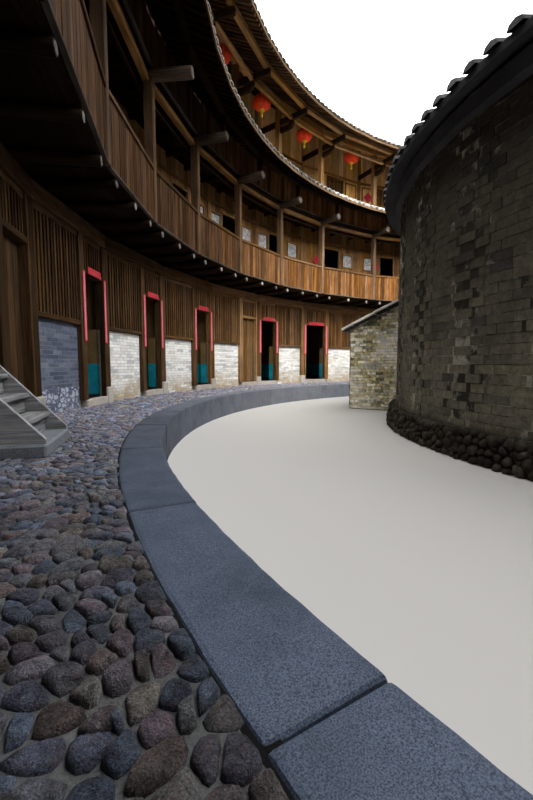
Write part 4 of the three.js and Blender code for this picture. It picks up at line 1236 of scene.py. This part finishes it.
# Stones that fill a surface, each in its own rounded cell
class StoneField:
    """Cells of jittered rows of stones on a strip: length u, width v, all round a ring or with two ends."""

    def __init__(self, length, width, pitch, stretch=1.25, jitter=0.34, vary=0.35, closed=True):
        self.length, self.width, self.closed = length, width, closed
        columns = max(3, round(length / (pitch * stretch)))
        rows = max(1, round(width / pitch))
        i, j = np.meshgrid(np.arange(columns), np.arange(rows), indexing="ij")
        self.u = (i + 0.5 + 0.5 * (j % 2) + rng.uniform(-jitter, jitter, i.shape)) * length / columns
        self.v = (j + 0.5 + rng.uniform(-jitter, jitter, i.shape)) * width / rows
        self.weight = rng.normal(0, vary, i.shape) * (pitch * 0.5) ** 2
        self.shape = i.shape

    def outlines(self, corners, keep, gap, sharp):
        """Distances from the middle of each kept stone to its outline, in even directions."""
        turns = 2 * pi * np.arange(corners) / corners
        way = np.stack([np.cos(turns), np.sin(turns)])
        total = np.zeros((keep.sum(), corners))
        rows = self.shape[1]
        for di, dj in product(range(-2, 3), repeat=2):
            if di == 0 and dj == 0:
                continue
            other_u, other_v, other_weight = [np.roll(values, (-di, -dj), (0, 1))
                                              for values in (self.u, self.v, self.weight)]
            away_u = (other_u - self.u + self.length / 2) % self.length - self.length / 2
            away_v = other_v - self.v
            row = np.arange(rows) + dj
            inside = np.broadcast_to((row >= 0) & (row < rows), self.shape)[keep][:, None]
            away = np.hypot(away_u, away_v) + 1e-6
            reach = np.maximum((away ** 2 + self.weight - other_weight) / 2 / away, 0.2 * away)[keep][:, None]
            facing = (away_u / away)[keep][:, None] * way[0] + (away_v / away)[keep][:, None] * way[1]
            total += (np.maximum(facing, 0) * inside / (reach - gap / 2)) ** sharp
        limits = [(0, -1, self.v), (0, 1, self.width - self.v)]
        if not self.closed:
            limits += [(-1, 0, self.u), (1, 0, self.length - self.u)]
        for side_u, side_v, reach in limits:
            facing = np.maximum(side_u * way[0] + side_v * way[1], 0)
            total += (facing / np.maximum(reach[keep][:, None], 0.02)) ** sharp
        outline = np.maximum(total, 1e-9) ** (-1 / sharp)
        for wave in (2, 3, 4):
            phase = rng.uniform(0, 2 * pi, (len(outline), 1))
            outline = outline * (1 + 0.035 * np.cos(wave * turns + phase))
        return outline, way

    def add(self, forms, place, corners, keep, gap, rise, profile, sharp=12.0):
        """Adds low rounded stones. place turns u, v and height into points."""
        outline, way = self.outlines(corners, keep, gap, sharp)
        u, v = self.u[keep][:, None], self.v[keep][:, None]
        many = len(u)
        tall = rise * rng.uniform(0.55, 1.25, (many, 1))
        lean = rng.normal(0, 0.09, (2, many, 1))
        rings = []
        for scale, level in profile:
            du, dv = outline * scale * way[0], outline * scale * way[1]
            lump = rng.normal(0, 0.05, du.shape) * tall if 0.3 < scale < 0.99 else 0.0
            height = tall * level + (lean[0] * du + lean[1] * dv) * max(level, 0) + lump
            rings.append(np.stack([u + du, v + dv, height], axis=-1))
        local = np.concatenate([*rings, np.stack([u, v, tall], axis=-1)], axis=1)
        start = (len(profile) - 1) * corners
        i = start + np.arange(corners)
        fan = np.stack([i, np.roll(i, -1), np.full(corners, start + corners)], axis=1).ravel()
        index = np.concatenate([bands(len(profile), corners), fan])
        points = place(*np.moveaxis(local, -1, 0))
        forms.repeat(points, index, [4] * start + [3] * corners, local[..., :2], True)


SMOOTH_STONE = [(1.02, -0.4), (1.0, 0.12), (0.95, 0.48), (0.84, 0.76), (0.62, 0.94), (0.32, 1.0)]
ROUND_STONE = [(1.0, -0.3), (0.97, 0.36), (0.8, 0.8), (0.45, 0.98)]
FLAT_STONE = [(1.0, -0.2), (0.76, 0.85)]


def cobble_strip(turns, pitch, stretch):
    """Stones between two turns of the walkway, with a function that puts them on it."""
    inner, outer = KERB[1] + 0.004, 11.03
    mean = (inner + outer) / 2
    start, end = turns
    field = StoneField((end - start) * mean, outer - inner, pitch, stretch, 0.36, 0.8, closed=False)

    def place(u, v, h):
        inward = np.clip(np.minimum(v, outer - inner - v) / 0.3, 0, 1)
        sway_u = 0.04 * np.sin(9.0 * v + 2.1 * u) * inward
        sway_v = 0.05 * np.sin(5.1 * u + 4.0 * v) * inward
        return around(start + (u + sway_u) / mean, inner + v + sway_v, WALKWAY + 0.001 + h)

    turn, at = start + field.u / mean, inner + field.v
    under_stair = (away_from(turn, STAIR_ANGLE) * 10.5 < 0.37) & (at > 10.25) & (at < 10.9)
    return field, place, turn, ~under_stair


def walkway_cobbles():
    """Small long cobbles all along the walkway, laid lengthwise, a little larger ones on the far half."""
    finish = cobble_finish()
    close, rest = Forms(), Forms()
    begin, far_end, close_end, end = radians(-108), radians(-34), radians(2.5), radians(13)
    field, place, turn, kept = cobble_strip((far_end, close_end), 0.058, 1.5)
    near = turn > radians(-10)
    field.add(close, place, 16, near & kept, 0.005, 0.020, SMOOTH_STONE, 7.0)
    field.add(close, place, 9, ~near & kept, 0.004, 0.015, ROUND_STONE, 8.0)
    for turns in ((begin, far_end), (close_end, end)):
        field, place, turn, kept = cobble_strip(turns, 0.082, 1.72)
        field.add(rest, place, 7, kept, 0.005, 0.017, FLAT_STONE, 9.0)
    field, place, turn, kept = cobble_strip((end, begin + 2 * pi), 0.15, 1.25)
    field.add(rest, place, 7, kept, 0.01, 0.018, FLAT_STONE, 8.0)
    piece("near_cobbles", close, finish, "field_stone")
    piece("far_cobbles", rest, finish, "field_stone")


def footing_stones():
    outer, inner = Forms(), Forms()
    radius, gate_half, door_half = 15.985, 1.2, 0.7
    field = StoneField(2 * pi * radius, 0.9, 0.27, 1.5)
    gate = away_from(field.u / radius, pi / 2) * radius < gate_half

    def on_outer(u, v, h):
        return around(u / radius, 15.972 + h, v)

    field.add(outer, on_outer, 8, ~gate, 0.02, 0.045, FLAT_STONE)
    piece("outer_footing_stones", outer, outer_stone, "cut_stone")

    reach = 6.2
    field = StoneField(2 * pi * reach, 0.34, 0.085, 1.35, 0.4, 0.8)
    turn = (field.u / reach + pi) % (2 * pi) - pi
    door = away_from(turn, pi / 2) * reach < door_half
    annex_part = (turn > ANNEX[0] - 0.01) & (turn < ANNEX[1] + 0.01)

    def on_inner(u, v, h):
        return around(u / reach, 6.245 - 0.2 * v + h, v)

    field.add(inner, on_inner, 7, ~(door | annex_part), 0.012, 0.04, FLAT_STONE)
    piece("inner_footing_stones", inner, footing_stone, "field_stone")


# Annex, kerb and the low building's bricks
def annex_roof_under(radius):
    return 1.85 + ANNEX_SLOPE * (ANNEX[2] - radius)


def annex():
    stones = Forms()
    start, end, radius = ANNEX
    course, joint, brick = 0.066, 0.005, 0.21
    wall, front_height, side_height = 0.15, 1.8, 2.35
    door_near, door_far, door_height = 6.39, 7.06, 1.76
    centre_turn = (start + end) / 2
    face = radius * cos((end - start) / 2)
    half = radius * sin((end - start) / 2)
    for row in range(int(front_height / course)):
        foot = 0.015 + course * row
        for low, high in brick_row(-half, half, row, brick):
            depths = (face - 0.02, face + rng.uniform(0.001, 0.008))
            ends = (low + joint / 2, high - joint / 2)
            stones.radial(centre_turn, depths, ends, (foot, foot + course - joint), 1)
    for angle, way in ((end - wall / radius, 1), (start + wall / radius, -1)):
        for row in range(int(side_height / course)):
            foot = 0.015 + course * row
            for low, high in brick_row(6.16, radius - 0.02, row, brick):
                in_doorway = way < 0 and low < door_far and high > door_near and foot < door_height
                if in_doorway or foot + course > annex_roof_under(high) - 0.01:
                    continue
                sides = sorted((way * (wall - 0.02), way * (wall + rng.uniform(0.002, 0.014))))
                ends = (low + joint / 2, high - joint / 2)
                stones.radial(angle, ends, sides, (foot, foot + course - joint), 0, 0.005)
    piece("annex_stones", stones, rubble, "field_stone")
    annex_slabs(centre_turn, (end - start) * radius / 2 + 0.13)


def annex_slabs(angle, reach):
    """Two layers of stone slabs on the annex, laid in courses that overlap downhill."""
    slabs, under = Forms(), Forms()
    count, courses, overlap = 9, 5, 0.03
    near, far = 6.17, 7.55
    step = (far - near) / courses
    width = 2 * reach / count
    for layer, row in product(range(2), range(courses)):
        foot = near + step * row
        head = foot + step + (0.0 if row == courses - 1 else overlap)
        half = 0.013 + 0.011 * layer
        lift = 0.016 + 0.042 * layer + 0.006 * (row % 2)
        level = (annex_roof_under(foot) + annex_roof_under(head)) / 2 + lift
        for i in range(count):
            low = -reach + width * i
            inset = rng.uniform(0.0, 0.022) + 0.02 * (1 - layer)
            ends = (low + (inset if i == 0 else 0.003), low + width - (inset if i == count - 1 else 0.003))
            depths = (foot, head - overlap * (1 - layer))
            (slabs if layer else under).radial(angle, depths, ends, (level - half, level + half), 0, 0.006,
                                               -atan(ANNEX_SLOPE) + 0.02)
    piece("annex_slabs", slabs, slab_stone, "cut_stone", "annex_roof")
    piece("annex_under_slabs", under, dark_tile, "cut_stone")


def brick_row(low, high, row, length):
    """Ends of the bricks of one course, half a brick off the course below, of uneven lengths."""
    stops = np.arange(low + length * (0.5 if row % 2 else 1.0), high - 0.05, length)
    stops = stops + rng.uniform(-0.03, 0.03, len(stops))
    return list(zip([low, *stops], [*stops, high]))


def kerb_slabs():
    """Long kerb slabs of worn granite with uneven edges and narrow joints."""
    slabs = Forms()
    count = 46
    starts = radians(-0.6) + 2 * pi * np.arange(count) / count
    starts[1:] += rng.uniform(-0.006, 0.006, count - 1)
    starts = np.append(starts, starts[0] + 2 * pi)
    half_joint = 0.0035 / KERB[1]
    for start, end in zip(starts, starts[1:]):
        top = WALKWAY + 0.009 + rng.normal(0, 0.001)
        add_slab(slabs, (start + half_joint, end - half_joint), KERB, top, 20)
    piece("kerb_slabs", slabs, kerb_stone, "cut_stone", "court_kerb")


def add_slab(forms, angles, radii, top, lengthwise):
    """One slab: a grid of its worn top with rounded edges, closed by its sides and its foot."""
    lengths = [0.0, 0.005, 0.015, *np.linspace(0.06, 0.94, lengthwise - 5), 0.985, 0.995, 1.0]
    widths = [0.0, 0.02, 0.06, 0.35, 0.65, 0.94, 0.98, 1.0]
    drop = [0.011, 0.003, 0.0]
    tilt = rng.normal(0, 0.002, 2)
    phases = rng.uniform(0, 2 * pi, 6)
    rows = []
    for a, share in enumerate(lengths):
        turn = angles[0] + (angles[1] - angles[0]) * share
        lowered = drop[min(a, 2)] + drop[min(len(lengths) - 1 - a, 2)]
        waves = [1 + sin(wave * 2 * pi * share + phase) for wave, phase in zip((1.1, 3.3, 7.9) * 2, phases)]
        near, far = radii[0] + 0.0012 * sum(waves[:3]), radii[1] - 0.0013 * sum(waves[3:])
        row = [(near, turn, 0.0)]
        for b, part in enumerate(widths):
            down = lowered + drop[min(b, 2)] + drop[min(len(widths) - 1 - b, 2)]
            leaning = tilt[0] * (share - 0.5) + tilt[1] * (part - 0.5) + rng.normal(0, 0.0004)
            row.append((near + (far - near) * part, turn, top - down + leaning))
        rows.append([*row, (far, turn, 0.0)])
    radius, turn, height = np.moveaxis(rows, -1, 0)
    m, n = radius.shape
    caps = [np.arange(n)[::-1], (m - 1) * n + np.arange(n)]
    index = np.concatenate([bands(m, n), *caps])
    sizes = np.array([4] * (m - 1) * n + [n, n])
    forms.add(around(turn, radius, height), index, sizes, np.stack([turn * 9.6, radius], axis=-1), False)


def ring_bricks(name, radius, outward, top, doors):
    """Brick courses on a round wall: long bricks and headers in turn, nearly flush with their mortar."""
    bricks = Forms()
    course, joint, depth = 0.104, 0.007, 0.02
    for row in range(int((top - 0.02) / course)):
        foot = course * row + 0.01
        if outward > 0 and foot < 0.32:
            continue
        length = 0.27 if row % 4 == 3 else 0.35
        count = round(2 * pi * radius / length)
        turn = 2 * pi / count
        middles = turn * (0.5 * (row % 2)) + rng.uniform(0, 0.01) + turn * (np.arange(count) + 0.5)
        flat = radius * cos(pi / 32) / np.cos(middles % (pi / 16) - pi / 32)
        keep = np.ones(count, bool)
        for door in doors:
            keep &= ~((away_from(middles, door) * radius < 0.66 + length / 2) & (foot < 2.5))
        proud = rng.uniform(0.001, 0.005, count)
        centres = around(middles, flat + outward * (proud - depth / 2), np.full(count, foot + course / 2))
        turns = np.array([axes(angle) for angle in middles])
        halves = (depth / 2, radius * turn / 2 - joint / 2, course / 2 - joint / 2)
        bricks.stamp(PLAIN_BOX, centres[keep], halves, turns[keep], 1)
    piece(name, bricks, dark_brick, "dark_brick")


# Stair
def stair():
    """Plank treads between two string boards that rise through the floor's opening, on a stone base."""
    base, steps, strings = Forms(), Forms(), Forms()
    base.radial(STAIR_ANGLE, (10.215, 10.92), (-0.4, 0.4), (WALKWAY, STAIR_BASE), 1, 0.015)
    rise = (SECOND - STAIR_BASE) / RISERS
    run = (STAIR_HEAD - STAIR_FOOT) / RISERS
    slope = rise / run
    for i in range(RISERS - 1):
        front = STAIR_FOOT + run * i + 0.005
        top = STAIR_BASE + rise * (i + 1)
        steps.radial(STAIR_ANGLE, (front, front + run + 0.03), (-0.32, 0.32), (top - 0.04, top), 1, 0.008)
        steps.radial(STAIR_ANGLE, (front + 0.04, front + 0.055), (-0.318, 0.318), (top - rise, top - 0.04), 1,
                     0.003)
    head = SECOND + 0.03
    foot = STAIR_FOOT - 0.115
    outline = [(foot, STAIR_BASE), (STAIR_FOOT + 0.16, STAIR_BASE), (STAIR_HEAD, SECOND - 0.3),
               (STAIR_HEAD, head), (foot + (head - STAIR_BASE - 0.03) / slope, head),
               (foot, STAIR_BASE + 0.03)]
    along = axes(STAIR_ANGLE)[1]
    for side in (-1, 1):
        strings.plate(STAIR_ANGLE, outline, 0.046)
        strings.points[-1] = strings.points[-1] + along * side * 0.341
    piece("stair_base_slabs", base, grey_stone, "cut_stone", "stair_base")
    piece("stair_steps", steps, grey_wood, "dark_timber", "stair_flight")
    piece("stair_strings", strings, grey_wood, "dark_timber")


# Lanterns
def lanterns():
    """Round paper lanterns on ribs, each on a taut string, with a tassel of strands."""
    shells, trim, cords = Forms(), Forms(), Forms()
    rows, n = 8, 32
    radius, tall = 0.25, 0.18
    hung_at, level = 10.12, 7.88
    turns = np.arange(n) * 2 * pi / n
    bulge = np.where(np.arange(n) % 2 == 0, 0.90, 1.0)
    lifts = [-pi / 2 + pi * (0.09 + 0.82 * row / rows) for row in range(rows + 1)]
    shell = np.concatenate([around(turns, radius * cos(lift) ** 0.85 * bulge, np.full(n, tall * sin(lift)))
                            for lift in lifts])
    index = np.concatenate([bands(rows + 1, n), np.arange(n)[::-1], rows * n + np.arange(n)])
    sizes = np.array([4] * n * rows + [n, n])
    for k in range(BAYS):
        out, along, up = axes(middle(k))
        centre = hung_at * cos(half_bay(k)) * out + along * rng.normal(0, 0.03) + np.array([0, 0, level])
        shells.add(shell + centre, index, sizes, np.zeros((len(shell), 2)), False)
        stand = np.array([up, out, along])
        for lift, reach, half in ((tall, 0.07, 0.015), (-tall, 0.075, 0.016), (-tall - 0.035, 0.036, 0.024)):
            trim.stamp(LOG, centre + up * lift, (half, reach, reach), stand, 0, 0.003)
        for strand in range(12):
            turn = 2 * pi * strand / 12
            spot = centre + 0.024 * (out * cos(turn) + along * sin(turn)) + up * (-tall - 0.11)
            trim.stamp(PLAIN_BOX, spot, (0.075, 0.006, 0.006), stand)
        low, high = centre[2] + tall, roof_under(hung_at) + 0.02
        spot = (centre[0], centre[1], (low + high) / 2)
        cords.stamp(LOG, spot, ((high - low) / 2, 0.004, 0.004), stand, 0, 0.001)
    piece("lantern_shells", shells, red_shell, "plank_door")
    piece("lantern_trims", trim, gold_trim, "plank_door")
    piece("lantern_strings", cords, red_shell, "plank_door")


def earth_window_frames():
    frames = Forms()
    half, width, foot, head = 0.298, 0.058, 6.682, 7.478
    for k in range(BAYS):
        for radius in (EARTH_IN + 0.01, 15.6):
            depths = (radius - 0.02, radius + 0.06)
            for low in (-half, half - width):
                frames.radial(middle(k), depths, (low, low + width), (foot, head), 2, 0.006)
            for low in (foot, head - width):
                frames.radial(middle(k), depths, (width - half, half - width), (low, low + width), 1, 0.006)
        for side in (-0.12, 0.0, 0.12):
            bar = ((15.61, 15.635), (side - 0.014, side + 0.014), (foot + width, head - width))
            frames.radial(middle(k), *bar, 2, form=PLAIN_BOX)
    piece("earth_window_frames", frames, brown, "dark_timber")


# Camera, light and floor
def camera():
    spot = Vector((10.086, 0.441, 1.055))
    yaw, pitch = radians(-122.762), radians(-4.993)
    forward = Vector((cos(yaw) * cos(pitch), sin(yaw) * cos(pitch), sin(pitch)))
    right = Vector((sin(yaw), -cos(yaw), 0.0))
    data = bpy.data.cameras.new("camera")
    data.sensor_width = 36.0
    data.lens = 18.517
    data.clip_start = 0.02
    made = linked("camera", data)
    turned = Matrix((right, right.cross(forward), -forward)).transposed().to_4x4()
    made.matrix_world = Matrix.Translation(spot) @ turned
    bpy.context.scene.camera = made


def light():
    world = bpy.data.worlds.new("sky")
    world.use_nodes = True
    sky = world.node_tree.nodes["Background"].inputs
    sky["Color"].default_value = (1.0, 1.0, 1.0, 1.0)
    sky["Strength"].default_value = 5.6
    bpy.context.scene.world = world
    data = bpy.data.lights.new("soft_sun", "SUN")
    data.energy = 2.4
    data.angle = radians(28)
    data.color = (1.0, 0.93, 0.82)
    azimuth, height = radians(66), radians(42)
    towards = Vector((cos(azimuth) * cos(height), sin(azimuth) * cos(height), sin(height)))
    linked("soft_sun", data).rotation_euler = towards.to_track_quat("Z", "Y").to_euler()
    bpy.context.scene.view_settings.view_transform = "Standard"


def pale_floor():
    mesh = bpy.data.meshes.new("pale_floor")
    reach = 60.0
    corners = [(x * reach, y * reach, -0.002) for x, y in ((-1, -1), (1, -1), (1, 1), (-1, 1))]
    mesh.from_pydata(corners, [], [(0, 1, 2, 3)])
    mesh.materials.append(Shader("pale_floor", 0.9, 0.2).finish((0.50, 0.49, 0.47)))
    linked("pale_floor", mesh)


camera()
light()
pale_floor()
kitchen_timber()
thresholds()
dado_bricks()
door_papers()
plank_leaf(PLANK_BAY, "yellow_door", 4, yellow, "plank_door", "plank_door_leaf", "plank_door")
plank_leaf(STAIR_BAY, "stair_door", 4, brown, "dark_timber", "stair_bay_door_leaf", "stair_bay_door")
door_knob()
second_logs()
floor_boards("second_floor_boards", SECOND, 0.056)
floor_boards("third_floor_boards", THIRD, 0.05, "third_floor")
parapet("second_parapet", SECOND, SECOND_RAIL, POST_HALF + 0.002)
parapet("third_parapet", THIRD, THIRD_RAIL, 0.0)
second_frame()
second_panes = room_walls("second_room", SECOND, JOIST_FOOT, wall_wood, golden)
third_panes = room_walls("third_room", THIRD, roof_under(FRONT * cos(WIDE / 2)), painted_lit_wall, wall_wood)
pane_paper = pane_finish()
piece("window_panes", second_panes, pane_paper, "plank_door")
piece("upper_window_panes", third_panes, pane_paper, "plank_door")
third_frame()
top_roof()
waist_roof()
inner_roof()
walkway_cobbles()
footing_stones()
annex()
kerb_slabs()
ring_bricks("inner_wall_bricks", INNER_WALL, 1, inner_under(INNER_WALL), (pi / 2,))
ring_bricks("yard_wall_bricks", YARD_WALL, -1, inner_under(YARD_WALL), (pi / 2, -pi / 2))
stair()
lanterns()
earth_window_frames()
